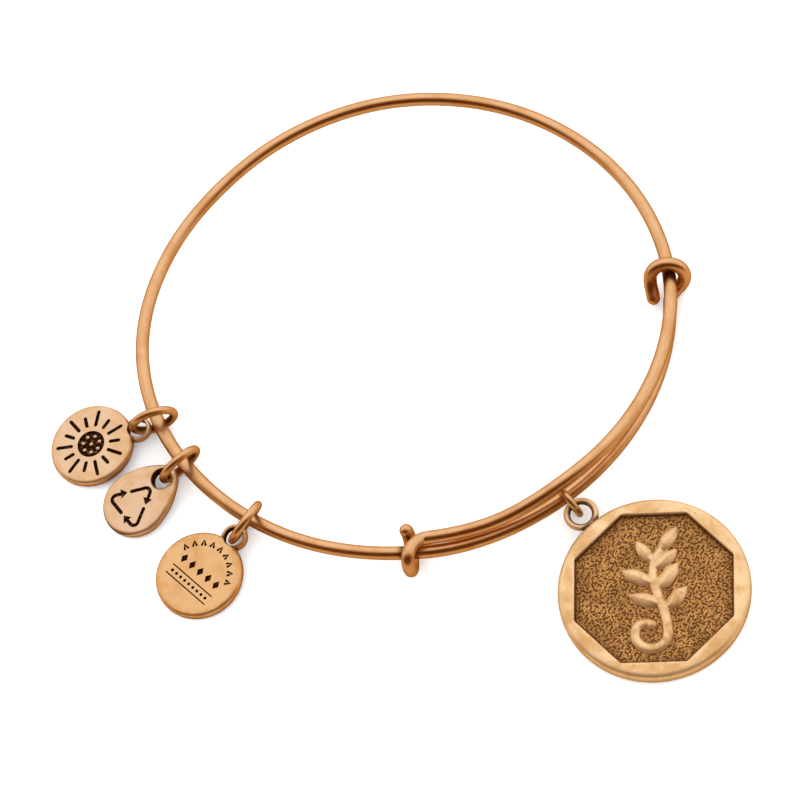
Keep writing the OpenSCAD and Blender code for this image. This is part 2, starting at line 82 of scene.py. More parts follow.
class Value:
    """An output socket whose arithmetic adds Math nodes to the sheet that it is on."""

    def __init__(self, sheet: "NodeSheet", socket: Any) -> None:
        """Wraps a socket.

        Args:
            sheet: The sheet that new nodes go on.
            socket: The output socket.
        """
        self.sheet = sheet
        self.socket = socket

    def maths(self, operation: str, *others: Any) -> "Value":
        """Adds one Math node that starts with this value."""
        return self.sheet.maths(operation, self, *others)

    def __add__(self, other: Any) -> "Value":
        """Sum."""
        return self.maths("ADD", other)

    def __radd__(self, other: Any) -> "Value":
        """Sum with a number on the left."""
        return self.sheet.maths("ADD", other, self)

    def __sub__(self, other: Any) -> "Value":
        """Difference."""
        return self.maths("SUBTRACT", other)

    def __rsub__(self, other: Any) -> "Value":
        """Difference with a number on the left."""
        return self.sheet.maths("SUBTRACT", other, self)

    def __mul__(self, other: Any) -> "Value":
        """Product."""
        return self.maths("MULTIPLY", other)

    def __rmul__(self, other: Any) -> "Value":
        """Product with a number on the left."""
        return self.sheet.maths("MULTIPLY", other, self)

    def __abs__(self) -> "Value":
        """Size without the sign."""
        return self.maths("ABSOLUTE")

    def at_least(self, other: Any) -> "Value":
        """The greater of this and another value."""
        return self.maths("MAXIMUM", other)

    def diagonal(self, other: "Value") -> "Value":
        """Length of the diagonal of two distances at right angles."""
        return (self * self + other * other).maths("SQRT")

    def step(self, low: float, high: float) -> "Value":
        """A smooth step from 0 to 1.

        Args:
            low: Where the step starts. Above high, the step runs downwards.
            high: Where the step ends.

        Returns:
            The step, between 0 and 1.
        """
        if low > high:
            return 1.0 - self.step(high, low)
        node = self.sheet.add(
            "ShaderNodeMapRange",
            {"interpolation_type": "SMOOTHSTEP"},
            {"Value": self, "From Min": low, "From Max": high},
        )
        return self.sheet.out(node, "Result")

    def band(self, edge: float, span: Span) -> "Value":
        """A smooth step over a span that is told from an edge."""
        return self.step(edge + span[0], edge + span[1])


class NodeSheet:
    """A node tree that is written as expressions."""

    SPOT_CORE = 0.4
    LOT_BAND = (0.0, -0.02)

    def __init__(self, tree: Any) -> None:
        """Takes over a node tree and clears it.

        Args:
            tree: The node tree.
        """
        self.tree = tree
        self.tree.nodes.clear()

    def add(self, kind: str, settings: Dict[str, Any], sockets: Dict[str, Any]) -> Any:
        """Adds a node.

        Args:
            kind: Type of the node.
            settings: Its settings, which are set first.
            sockets: Values or links, by the socket's name or identifier.

        Returns:
            The node.
        """
        node = self.tree.nodes.new(kind)
        for name, value in settings.items():
            setattr(node, name, value)
        for name, value in sockets.items():
            socket = self._find(node.inputs, name)
            if isinstance(value, Value):
                self.tree.links.new(value.socket, socket)
            else:
                socket.default_value = value
        return node

    def out(self, node: Any, name: str) -> Value:
        """An output of a node, by name or identifier."""
        return Value(self, self._find(node.outputs, name))

    def maths(self, operation: str, *values: Any) -> Value:
        """Adds one Math node.

        Args:
            operation: Name of its operation.
            *values: Values or numbers for its sockets, in order.

        Returns:
            Its result.
        """
        sockets = dict(zip(("Value", "Value_001", "Value_002"), values))
        return self.out(self.add("ShaderNodeMath", {"operation": operation}, sockets), "Value")

    def vector_maths(self, operation: str, a: Any, b: Any = None, scale: Any = None) -> Any:
        """Adds one Vector Math node and returns the node.

        Args:
            operation: Name of its operation.
            a: First vector.
            b: Second vector, where the operation has one.
            scale: Number, for the scale operation.

        Returns:
            The node, whose outputs are Vector and Value.
        """
        sockets = {"Vector": a}
        if b is not None:
            sockets["Vector_001"] = b
        if scale is not None:
            sockets["Scale"] = scale
        return self.add("ShaderNodeVectorMath", {"operation": operation}, sockets)

    def mix(self, share: Any, a: Any, b: Any) -> Value:
        """Mixes two colours.

        Args:
            share: Share of the second colour.
            a: First colour, or its link.
            b: Second colour, or its link.

        Returns:
            The mixed colour.
        """
        a, b = (c if isinstance(c, Value) else (*c, 1.0) for c in (a, b))
        node = self.add(
            "ShaderNodeMix",
            {"data_type": "RGBA"},
            {"Factor_Float": share, "A_Color": a, "B_Color": b},
        )
        return self.out(node, "Result_Color")

    def noise(self, place: Value, grain: float, detail: float = 3.0, swirl: float = 0.0) -> Value:
        """Soft noise between 0 and 1.

        Args:
            place: Place on the piece, in millimetres.
            grain: Size of one grain in millimetres.
            detail: Number of finer layers.
            swirl: How far the grains are drawn out of shape.

        Returns:
            The noise.
        """
        node = self.add(
            "ShaderNodeTexNoise",
            {},
            {"Vector": place, "Scale": 1.0 / grain, "Detail": detail, "Distortion": swirl},
        )
        return self.out(node, "Fac")

    def spots(self, place: Value, spacing: float, size: float, keep: float) -> Value:
        """Scattered round spots.

        Args:
            place: Place on the piece, in millimetres.
            spacing: Mean distance between spots, in millimetres.
            size: Radius of a spot, as a share of the spacing.
            keep: Share of the spots that are kept.

        Returns:
            1 inside a spot and 0 outside.
        """
        settings = {"feature": "F1"}
        cells = self.add("ShaderNodeTexVoronoi", settings, {"Vector": place, "Scale": 1.0 / spacing})
        near = self.out(cells, "Distance").step(size, size * self.SPOT_CORE)
        lot = self.add("ShaderNodeSeparateColor", {}, {"Color": self.out(cells, "Color")})
        return near * self.out(lot, "Red").band(keep, self.LOT_BAND)

    def place(self) -> Value:
        """Reads the place on the piece.

        Returns:
            The place in millimetres.
        """
        coords = self.add("ShaderNodeTexCoord", {}, {})
        scaled = self.vector_maths("SCALE", self.out(coords, "Object"), scale=1.0 / MM)
        return self.out(scaled, "Vector")

    def split(self, place: Value) -> Tuple[Value, Value, Value]:
        """The X, Y and Z of a vector."""
        node = self.add("ShaderNodeSeparateXYZ", {}, {"Vector": place})
        return self.out(node, "X"), self.out(node, "Y"), self.out(node, "Z")

    def join(self, x: Any, y: Any, z: Any) -> Value:
        """A vector from three values."""
        node = self.add("ShaderNodeCombineXYZ", {}, {"X": x, "Y": y, "Z": z})
        return self.out(node, "Vector")

    def dot(self, place: Value, direction: Sequence[float]) -> Value:
        """How far a place lies along a direction."""
        return self.out(self.vector_maths("DOT_PRODUCT", place, tuple(direction)), "Value")

    def offset(self, place: Value, point: Place) -> Value:
        """The way from a point to a place."""
        return self.out(self.vector_maths("SUBTRACT", place, point), "Vector")

    def length(self, way: Value) -> Value:
        """Length of a vector."""
        return self.out(self.vector_maths("LENGTH", way), "Value")

    def blend(self, share: Any, first: Value, second: Value) -> Value:
        """Mixes two shaders by the share of the second one."""
        sockets = {"Fac": share, "Shader": first, "Shader_001": second}
        return self.out(self.add("ShaderNodeMixShader", {}, sockets), "Shader")

    @staticmethod
    def _find(sockets: Any, name: str) -> Any:
        """Looks a socket up.

        Args:
            sockets: Sockets of a node.
            name: Identifier of the socket, or else its name.

        Returns:
            The socket.
        """
        for socket in sockets:
            if socket.identifier == name:
                return socket
        return sockets[name]


class MaterialSheet(NodeSheet):
    """The sheet of one metal, with a shader on it."""

    EDGE_TINT = (0.72, 0.5, 0.3, 1.0)

    def __init__(self, name: str, metallic: float) -> None:
        """Makes a material.

        Args:
            name: Its name.
            metallic: How metallic it is.
        """
        self.material = bpy.data.materials.new(name)
        self.material.use_nodes = True
        super().__init__(self.material.node_tree)
        sockets = {"Metallic": metallic, "Specular Tint": self.EDGE_TINT}
        self.shader = self.add("ShaderNodeBsdfPrincipled", {}, sockets)
        self.add("ShaderNodeOutputMaterial", {}, {"Surface": self.out(self.shader, "BSDF")})

    def finish(self, colour: Value, roughness: Value, height: Value, relief: float) -> Any:
        """Links the shader.

        Args:
            colour: Colour of the surface.
            roughness: Its roughness.
            height: Fine relief, between 0 and 1.
            relief: Depth of that relief in millimetres.

        Returns:
            The material.
        """
        sockets = {"Strength": 1.0, "Distance": relief * MM, "Height": height}
        normal = self.out(self.add("ShaderNodeBump", {}, sockets), "Normal")
        for name, value in {"Base Color": colour, "Roughness": roughness, "Normal": normal}.items():
            self.tree.links.new(value.socket, self.shader.inputs[name])
        return self.material


# Forms


@dataclass(frozen=True)
class Hanging:
    """Where a flat charm lies: its hole, the direction that it points in and its tilt.

    A charm is made flat, in millimetres, with its hole at the origin and its middle towards -X.
    """

    hole: Place
    facing: float
    tilt: float

    def turn(self) -> Matrix:
        """The turn from the flat charm to the hung one."""
        about_z = Matrix.Rotation(math.radians(self.facing + 180), 4, "Z")
        return about_z @ Matrix.Rotation(math.radians(-self.tilt), 4, "Y")

    def matrix(self) -> Matrix:
        """The move from the flat charm, in millimetres, to its place in metres."""
        return Matrix.Scale(MM, 4) @ Matrix.Translation(self.hole) @ self.turn()

    def flat(self, sheet: NodeSheet, place: Value) -> Tuple[Value, Value, Value]:
        """Tells a place on the hung charm as X, Y and Z of the flat one.

        Args:
            sheet: The material's sheet.
            place: The place in millimetres.

        Returns:
            The three distances in millimetres.
        """
        ways = self.turn().to_3x3()
        offset = sheet.offset(place, self.hole)
        return tuple(sheet.dot(offset, ways.col[i]) for i in range(3))


@dataclass(frozen=True)
class CharmForm:
    """Sizes that a small charm's mesh and its finish share. Its marks lie within their reach."""

    hangs: Hanging
    middle: float
    body_r: float
    reach: float
    hole_r: float = 1.125
    thickness: float = 1.3
    engrave_depth: float = 0.25


@dataclass(frozen=True)
class MedallionForm:
    """Sizes that the medallion's meshes and its finishes share."""

    hangs: Hanging
    diameter: float = 22.3
    thickness: float = 2.0
    across: float = 18.3
    depth: float = 0.55
    stipple_depth: float = 0.11
    stipple_mean: float = 0.4
    eye_d: float = 4.1
    eye_hole: float = 2.5
    eye_sink: float = 0.25
    eye_turn: float = 41.0

    @property
    def outer_r(self) -> float:
        """Radius of the medallion."""
        return self.diameter / 2

    @property
    def offset(self) -> float:
        """Distance from the eye's hole to the medallion's middle."""
        return self.outer_r + self.eye_d / 2 - self.eye_sink

    @property
    def upright(self) -> float:
        """Angle from the flat charm to the upright drawing of it, in degrees."""
        return -self.eye_turn - 90

    @property
    def sunk(self) -> float:
        """Depth of the recess floor's mean level, which the stipple stands up from."""
        return self.depth - self.stipple_depth * self.stipple_mean


SUN = CharmForm(
    Hanging(hole=(-34.1145, -0.6561, 1.9182), facing=-185.5, tilt=6.8391),
    middle=5.9,
    body_r=5.15,
    reach=4.65,
)
TAG = CharmForm(
    Hanging(hole=(-27.6264, -18.936, 1.8279), facing=-153.5, tilt=6.1751),
    middle=6.05,
    body_r=5.3,
    reach=4.8,
)
TEARDROP = CharmForm(
    Hanging(hole=(-33.2916, -8.4031, 2.0404), facing=-162.5, tilt=10.0725),
    middle=4.6,
    body_r=4.05,
    reach=3.75,
    hole_r=1.25,
)
MEDALLION = MedallionForm(Hanging(hole=(11.1381, -32.8243, 2.653), facing=-69, tilt=4.0682))


# Finishes


@dataclass
class Coat:
    """A metal's surface while it is built up, over a place in millimetres."""

    sheet: MaterialSheet
    place: Value
    colour: Any
    roughness: Value
    height: Value

    def lay(self, share: Value, colour: Any) -> None:
        """Lays another colour over the coat, by its share."""
        self.colour = self.sheet.mix(share, self.colour, colour)


@dataclass(frozen=True)
class SatinMetal:
    """Plated metal with a satin sheen, faint smudges and small pits. Its sizes are in millimetres."""

    name: str
    bright: Colour
    warm: Colour
    dark: Colour
    metallic: float = 1.0
    roughness: float = 0.31
    smudge_rough: float = 0.1
    grain_rough: float = 0.08
    pit_rough: float = 0.2
    relief: float = 0.01
    grain_relief: float = 0.6
    smudge_relief: float = 0.4
    smudge: float = 0.55
    smudge_size: float = 3.2
    smudge_detail: float = 4.0
    smudge_swirl: float = 0.6
    smudge_edge: Span = (0.42, 0.7)
    streaks: float = 0.35
    streak_edge: Span = (0.5, 0.74)
    grain_size: float = 0.12
    pits: float = 0.14
    pit_spacing: float = 0.9
    pit_size: float = 0.11
    pit_tarnish: float = 0.75
    # Grain, edge and least share of the uneven painted shade and tarnish.
    shade_and_tarnish_size: float = 0.5
    shade_and_tarnish_edge: Span = (0.25, 0.6)
    shade_and_tarnish_least: float = 0.65

    def grain_place(self, sheet: NodeSheet, place: Value) -> Value:
        """Where the fine grain is read, in millimetres."""
        return place

    def plain(self) -> Coat:
        """Makes the coat of the plain metal.

        Returns:
            The coat.
        """
        sheet = MaterialSheet(self.name, self.metallic)
        place = sheet.place()
        smudge = sheet.noise(place, self.smudge_size, self.smudge_detail, self.smudge_swirl)
        grain = sheet.noise(self.grain_place(sheet, place), self.grain_size)
        pits = sheet.spots(place, self.pit_spacing, self.pit_size, self.pits)
        least = self.roughness - (self.smudge_rough + self.grain_rough) / 2
        roughness = least + smudge * self.smudge_rough + grain * self.grain_rough + pits * self.pit_rough
        height = grain * self.grain_relief + smudge * self.smudge_relief - pits
        coat = Coat(sheet, place, self.bright, roughness, height)
        coat.lay(smudge.step(*self.smudge_edge) * self.smudge, self.warm)
        coat.lay(grain.step(*self.streak_edge) * self.streaks, self.warm)
        coat.lay(pits * self.pit_tarnish, self.dark)
        return coat

    def shade_and_tarnish(self, coat: Coat, share: Value) -> None:
        """Lays uneven brown painted shade over a coat, by its share. Inside the hooks it also stands for
        tarnish.
        """
        uneven = coat.sheet.noise(coat.place, self.shade_and_tarnish_size).step(*self.shade_and_tarnish_edge)
        coat.lay(share * (uneven * (1 - self.shade_and_tarnish_least) + self.shade_and_tarnish_least), self.dark)

    def age(self, coat: Coat) -> None:
        """Adds what age and use have left on one kind of piece."""
        raise NotImplementedError

    def material(self) -> Any:
        """Builds the material.

        Returns:
            The material.
        """
        coat = self.plain()
        self.age(coat)
        return coat.sheet.finish(coat.colour, coat.roughness, coat.height, self.relief)


@dataclass(frozen=True)
class DrawnWire(SatinMetal):
    """Metal of the ring's wire, with faint lines along the wire and painted shade, partly tarnish, inside
    its hooks.

    Each hook is told by its middle, its axis and how far it reaches from its middle.
    """

    streaks: float = 0.7
    pits: float = 0.24
    line_length: float = 7.0
    line_width: float = 0.11
    ring_r: float = 31.0
    hooks: Tuple[Tuple[Place, Place, float], ...] = (
        ((30.942, -7.4285, 2.55), (-0.218, -0.908, 0.358), 2.05),
        ((-9.0013, -29.4418, 3.15), (-0.956, 0.292, 0.0), 2.35),
    )
    hook_along: Span = (1.8, 0.6)
    hook_inner: Span = (-0.5, -1.1)
    # Strength of the painted shade, partly tarnish, inside the hooks.
    hook_shade_and_tarnish: float = 0.9

    def grain_place(self, sheet: NodeSheet, place: Value) -> Value:
        """Draws the grain out into lines that run round the ring.

        Args:
            sheet: The material's sheet.
            place: Place in millimetres.

        Returns:
            Where the grain is read.
        """
        x, y, z = sheet.split(place)
        turn = sheet.maths("ARCTAN2", y, x) * (self.ring_r * self.grain_size / self.line_length)
        across = self.grain_size / self.line_width
        return sheet.join(turn, x.diagonal(y) * across, z * across)

    def age(self, coat: Coat) -> None:
        """Adds painted shade, partly tarnish, inside the hooks and on the strands that pass through them.

        Args:
            coat: The plain metal's coat.
        """
        for middle, axis, reach in self.hooks:
            offset = coat.sheet.offset(coat.place, middle)
            along = abs(coat.sheet.dot(offset, axis)).step(*self.hook_along)
            inside = coat.sheet.length(offset).band(reach, self.hook_inner) * along
            # Painted shade, partly tarnish, inside the hook and on the strand through it.
            self.shade_and_tarnish(coat, inside * self.hook_shade_and_tarnish)


@dataclass(frozen=True)
class RingMetal(SatinMetal):
    """Metal of a jump ring, with painted shade on its inner side."""

    grain_size: float = 0.08
    pits: float = 0.05
    middle: Place = (0.0, 0.0, 0.0)
    axis: Place = (0.0, 0.0, 1.0)
    mean_r: float = 2.55
    wire_r: float = 0.5
    inner_shares: Span = (-0.25, -0.9)
    # Strength of the painted shade on the inner side.
    inner_shade: float = 0.85

    def age(self, coat: Coat) -> None:
        """Adds painted shade on the inner side, which is told by the distance from the axis.

        Args:
            coat: The plain metal's coat.
        """
        sheet = coat.sheet
        across = sheet.vector_maths("CROSS_PRODUCT", sheet.offset(coat.place, self.middle), self.axis)
        radius = sheet.length(sheet.out(across, "Vector"))
        inner = radius.band(self.mean_r, tuple(self.wire_r * share for share in self.inner_shares))
        # Painted shade on the ring's inner side.
        self.shade_and_tarnish(coat, inner * self.inner_shade)


@dataclass(frozen=True)
class StruckMetal(SatinMetal):
    """Metal of a small charm, dark in its engraved marks, with painted shade along its rim, on its walls,
    in its hole and by its lug.

    Bands are told from the edge of the body, the marks or the hole, and depths from the face.
    """

    metallic: float = 0.9
    form: CharmForm = SUN
    # Dark of the marks' ink, also laid as painted shade in the hole.
    ink_and_shade: Colour = (0.032, 0.008, 0.001)
    # Colour of the painted shade on the walls.
    edge: Colour = (0.46, 0.19, 0.035)
    rim_band: Span = (-1.1, -0.1)
    # Painted shade along the rim of the face, mottled by noise.
    rim_shade: float = 0.8
    rim_shade_size: float = 1.4
    rim_shade_edge: Span = (0.3, 0.65)
    # Painted shade on the walls and, darker still, at their foot.
    wall: float = 0.85
    wall_deep: Span = (0.25, 0.95)
    wall_rough: float = 0.1
    foot: float = 0.6
    foot_deep: Span = (0.7, 1.2)
    # Painted shade in the bored hole.
    hole: float = 0.95
    hole_band: Span = (0.2, 0.02)
    hole_rough: float = 0.25
    # Painted shade in the crease between the face and the lug.
    crease: float = 0.8
    crease_band: Span = (0.4, 0.05)
    crease_deep: Span = (0.1, 0.2)
    crease_reach: Span = (0.75, 0.5)
    mark_band: Span = (0.03, -0.03)
    mark_deep: Span = (0.07, 0.15)
    mark_floor: Span = (0.2, 0.1)
    mark_rough: float = 0.3
    rubbed: float = 0.2
    rubbed_size: float = 0.35
    rubbed_detail: float = 2.0
    rubbed_edge: Span = (0.3, 0.45)

    def age(self, coat: Coat) -> None:
        """Adds painted shade along the rim, on the walls and at their foot, in the hole and in the crease
        by the lug, and the ink of the marks.

        Args:
            coat: The plain metal's coat.
        """
        form, sheet = self.form, coat.sheet
        u, v, w = form.hangs.flat(sheet, coat.place)
        below = form.thickness / 2 - w
        from_hole = u.diagonal(v)
        away = (u + form.middle).diagonal(v)
        rim = away.band(form.body_r, self.rim_band)
        # Painted shade along the rim of the face, mottled by noise.
        rim_shade = rim * sheet.noise(coat.place, self.rim_shade_size).step(*self.rim_shade_edge)
        coat.lay(rim_shade * self.rim_shade, self.warm)
        # Painted shade on the walls, and more at their foot.
        wall = below.step(*self.wall_deep) * rim
        coat.lay(wall * self.wall, self.edge)
        self.shade_and_tarnish(coat, wall * below.step(*self.foot_deep) * self.foot)
        # Painted shade in the bored hole.
        hole = from_hole.band(form.hole_r, self.hole_band)
        coat.lay(hole * self.hole, self.ink_and_shade)
        # Painted shade in the crease between the face and the lug.
        crease = away.band(form.body_r, self.crease_band) * below.step(*self.crease_deep)
        self.shade_and_tarnish(coat, crease * from_hole.band(form.hole_r, self.crease_reach) * self.crease)
        deep = below.step(*self.mark_deep) * below.band(form.engrave_depth, self.mark_floor)
        marks = deep * away.band(form.reach, self.mark_band)
        rubbed = sheet.noise(coat.place, self.rubbed_size, self.rubbed_detail)
        worn = rubbed.step(*self.rubbed_edge)
        coat.lay(marks * (worn * self.rubbed + (1 - self.rubbed)), self.ink_and_shade)
        rough = marks * self.mark_rough + wall * self.wall_rough + hole * self.hole_rough
        coat.roughness = coat.roughness + rough


@dataclass(frozen=True)
class CastMetal(SatinMetal):
    """Metal of the medallion, with painted shade at the foot of the walls in its recess, on its lower
    outer wall, in the eye and at the solder.

    Bands are told from the sides of the recess, the outer edge or the hole, and depths from the face.
    """

    metallic: float = 0.9
    roughness: float = 0.43
    streaks: float = 0.6
    grain_size: float = 0.16
    form: MedallionForm = MEDALLION
    # Dark of the antiquing in the stipple's ground, also laid as painted shade at the foot of walls.
    ink_and_shade: Colour = (0.08, 0.018, 0.0)
    cloud: float = 0.8
    cloud_size: float = 2.6
    cloud_detail: float = 2.5
    cloud_swirl: float = 0.6
    cloud_edge: Span = (0.4, 0.74)
    cloud_inner: Span = (0.05, 0.35)
    cloud_outer: Span = (-0.35, -0.9)
    # Painted shade on the lower part of the outer wall.
    wall: float = 0.25
    wall_deep: Span = (0.5, 1.5)
    wall_band: Span = (-0.5, -0.1)
    # Painted shade at the foot of the walls in the recess.
    foot: float = 0.9
    foot_shares: Span = (0.7, 0.97)
    foot_band: Span = (0.12, 0.02)
    # Painted shade in the crease at the solder and in the eye's hole.
    solder: float = 0.9
    solder_beyond: float = 0.1
    solder_band: Span = (0.45, 0.1)
    solder_reach: Span = (2.9, 2.2)
    hole_band: Span = (0.5, 0.1)

    def recess(self, coat: Coat, below: Value, flats: Value) -> None:
        """Paints shade at the foot of the walls in the recess: its sides and the sprig's sides.

        Args:
            coat: The coat so far.
            below: Depth below the face.
            flats: Distance from the medallion's middle, square to the recess's sides.
        """
        foot = below.step(*(self.form.depth * share for share in self.foot_shares))
        # Painted shade at the foot of the walls in the recess.
        coat.lay(foot * flats.band(self.form.across / 2, self.foot_band) * self.foot, self.ink_and_shade)

    def age(self, coat: Coat) -> None:
        """Adds clouds on the rim, and painted shade on the lower outer wall, at the foot of the walls in
        the recess, in the eye's hole and in the crease at the solder.

        Args:
            coat: The plain metal's coat.
        """
        form, sheet = self.form, coat.sheet
        x, y, w = form.hangs.flat(sheet, coat.place)
        from_hole = x.diagonal(y)
        x = x + form.offset
        turn = math.radians(form.upright)
        u, v = x * math.cos(turn) + y * math.sin(turn), y * math.cos(turn) - x * math.sin(turn)
        slant = math.sqrt(0.5)
        flats = abs(u).at_least(abs(v)).at_least(abs(u + v) * slant).at_least(abs(u - v) * slant)
        radius = u.diagonal(v)
        below = form.thickness / 2 - w
        rim = flats.band(form.across / 2, self.cloud_inner) * radius.band(form.outer_r, self.cloud_outer)
        cloud = sheet.noise(coat.place, self.cloud_size, self.cloud_detail, self.cloud_swirl)
        coat.lay(rim * cloud.step(*self.cloud_edge) * self.cloud, self.warm)
        # Painted shade on the lower part of the outer wall.
        wall = below.step(*self.wall_deep) * radius.band(form.outer_r, self.wall_band)
        self.shade_and_tarnish(coat, wall * self.wall)
        self.recess(coat, below, flats)
        # Painted shade in the crease at the solder and in the eye's hole.
        seam = abs(radius - (form.outer_r + self.solder_beyond)).step(*self.solder_band)
        seam = seam * from_hole.step(*self.solder_reach)
        dark = from_hole.band(form.eye_hole / 2, self.hole_band).at_least(seam)
        self.shade_and_tarnish(coat, dark * self.solder)


@dataclass(frozen=True)
class StippledMetal(CastMetal):
    """Metal of the recess floor: rubbed tops in a dark ground, with painted shade that is darkest along
    the walls.
    """

    roughness: float = 0.42
    top: Colour = (0.76, 0.4, 0.14)
    top_share: float = 0.65
    grit: float = 0.35
    grit_size: float = 1.6
    grit_edge: Span = (0.3, 0.7)
    ground_rough: float = 0.1
    # Painted shade towards the recess's walls, broad and close.
    broad_shade: float = 0.4
    broad_band: Span = (-1.3, 0.0)
    close_shade: float = 0.6
    close_band: Span = (-0.4, -0.03)

    def recess(self, coat: Coat, below: Value, flats: Value) -> None:
        """Colours the stipple by its height and paints shade on it towards the walls.

        Args:
            coat: The coat so far.
            below: Depth below the face.
            flats: Distance from the medallion's middle, square to the recess's sides.
        """
        half, depth = self.form.across / 2, self.form.depth
        top = below.step(depth, depth - self.form.stipple_depth * self.top_share)
        grit = coat.sheet.noise(coat.place, self.grit_size).step(*self.grit_edge)
        coat.colour = coat.sheet.mix(top * (grit * self.grit + (1 - self.grit)), self.ink_and_shade, self.top)
        # Painted shade towards the recess's walls.
        shade = flats.band(half, self.broad_band) * self.broad_shade
        shade = shade + flats.band(half, self.close_band) * self.close_shade
        coat.lay(shade * self.foot, self.ink_and_shade)
        coat.roughness = coat.roughness + self.ground_rough


ROSE = {"bright": (0.83, 0.48, 0.255), "warm": (0.7, 0.34, 0.12), "dark": (0.13, 0.04, 0.009)}
PALE_ROSE = {"bright": (0.8, 0.535, 0.355), "warm": (0.7, 0.39, 0.17), "dark": (0.11, 0.03, 0.004)}
DEEP_ROSE = {"bright": (0.8, 0.47, 0.23), "warm": (0.66, 0.31, 0.1), "dark": (0.11, 0.03, 0.004)}
YELLOW = {"bright": (0.92, 0.64, 0.37), "warm": (0.66, 0.36, 0.13), "dark": (0.11, 0.035, 0.005)}
PALE_YELLOW = {"bright": (0.96, 0.68, 0.4), "warm": (0.68, 0.36, 0.125), "dark": (0.1, 0.035, 0.005)}
WORN_YELLOW = {"bright": (0.92, 0.63, 0.36), "warm": (0.6, 0.32, 0.11), "dark": (0.1, 0.035, 0.005)}


# Metalwork


def take(piece: Any) -> None:
    """Makes one object the only selected and active one.

    Args:
        piece: The object.
    """
    bpy.ops.object.select_all(action="DESELECT")
    piece.select_set(True)
    bpy.context.view_layer.objects.active = piece


def fresh(adder: Callable[..., Any], **settings: Any) -> Any:
    """Adds a primitive with nothing else selected and puts its place into its points.

    Args:
        adder: The operator that adds it.
        **settings: The operator's settings.

    Returns:
        The new object.
    """
    bpy.ops.object.select_all(action="DESELECT")
    adder(**settings)
    bpy.ops.object.transform_apply(location=True, rotation=True, scale=True)
    return bpy.context.object


@contextmanager
def edited(piece: Any) -> Iterator[None]:
    """Opens a mesh in edit mode with all of it selected, and closes it afterwards.

    Args:
        piece: The object.

    Yields:
        Nothing, as the operators work on the open mesh.
    """
    take(piece)
    bpy.ops.object.mode_set(mode="EDIT")
    bpy.ops.mesh.select_all(action="SELECT")
    yield
    bpy.ops.object.mode_set(mode="OBJECT")


@contextmanager
def edited_edges(piece: Any, test: Callable[[Vector], bool]) -> Iterator[None]:
    """Opens a mesh in edit mode with only some of its edges selected, and closes it afterwards.

    Args:
        piece: The object.
        test: Says of a point whether the edges between such points are selected.

    Yields:
        Nothing, as the operators work on the open mesh.
    """
    with edited(piece):
        bpy.ops.mesh.select_mode(type="EDGE")
        bpy.ops.mesh.select_all(action="DESELECT")
    points = piece.data.vertices
    for edge in piece.data.edges:
        edge.select = all(test(points[i].co) for i in edge.vertices)
    bpy.ops.object.mode_set(mode="EDIT")
    yield
    bpy.ops.object.mode_set(mode="OBJECT")


def apply_modifier(piece: Any, kind: str, **settings: Any) -> None:
    """Adds a modifier to an object and applies it.

    Args:
        piece: The object.
        kind: Type of the modifier.
        **settings: The modifier's settings.
    """
    take(piece)
    modifier = piece.modifiers.new(kind.lower(), kind)
    for name, value in settings.items():
        setattr(modifier, name, value)
    bpy.ops.object.modifier_apply(modifier=modifier.name)


def bisect(piece: Any, point: Sequence[float], normal: Sequence[float], fill: bool = False) -> None:
    """Cuts a mesh by a plane and clears the side that the normal points to.

    Args:
        piece: The object.
        point: A point of the plane.
        normal: The plane's normal.
        fill: Whether the cut is closed by a face.
    """
    with edited(piece):
        bpy.ops.mesh.bisect(plane_co=point, plane_no=normal, clear_outer=True, use_fill=fill)


def carve(piece: Any, tool: Any, cut: Cut = Cut.OUT) -> None:
    """Cuts one solid out of another, or joins it on. The tool is used up.

    Args:
        piece: The solid that stays.
        tool: The other solid.
        cut: What the tool does.
    """
    apply_modifier(piece, "BOOLEAN", object=tool, operation=cut.value, solver="EXACT")
    bpy.data.objects.remove(tool)


def move(piece: Any, matrix: Matrix) -> None:
    """Moves a piece and puts the move into its mesh.

    Args:
        piece: The object.
        matrix: The move.
    """
    take(piece)
    piece.matrix_world = matrix @ piece.matrix_world
    bpy.ops.object.transform_apply(location=True, rotation=True, scale=True)


def merged(pieces: Sequence[Any]) -> Any:
    """Joins objects into the first one.

    Args:
        pieces: The objects.

    Returns:
        The first object.
    """
    take(pieces[0])
    for piece in pieces:
        piece.select_set(True)
    bpy.ops.object.join()
    return bpy.context.object


def copy_of(piece: Any) -> Any:
    """Copies an object with a mesh of its own.

    Args:
        piece: The object.

    Returns:
        The copy.
    """
    take(piece)
    bpy.ops.object.duplicate(linked=False)
    return bpy.context.object


def clean(piece: Any, distance: float) -> None:
    """Merges doubled points and turns all faces outwards.

    Args:
        piece: The object.
        distance: Points closer than this are merged.
    """
    with edited(piece):
        bpy.ops.mesh.remove_doubles(threshold=distance)
        bpy.ops.mesh.normals_make_consistent(inside=False)


def empty_curve() -> Any:
    """Adds a curve object that has no splines yet.

    Returns:
        The object.
    """
    curve = fresh(bpy.ops.curve.primitive_bezier_curve_add)
    curve.data.splines.clear()
    return curve


def add_line(curve: Any, points: Sequence[Sequence[float]], closed: bool) -> None:
    """Adds a straight-sided spline to a curve.

    Args:
        curve: The curve object.
        points: Its points, as X, Y and Z.
        closed: Whether its end meets its start.
    """
    spline = curve.data.splines.new("POLY")
    spline.points.add(len(points) - 1)
    for knot, point in zip(spline.points, points):
        knot.co = (*point, 1)
    spline.use_cyclic_u = closed


def meshed(curve: Any) -> Any:
    """Makes a curve a mesh.

    Args:
        curve: The curve object.

    Returns:
        The mesh object.
    """
    take(curve)
    bpy.ops.object.convert(target="MESH")
    return bpy.context.object


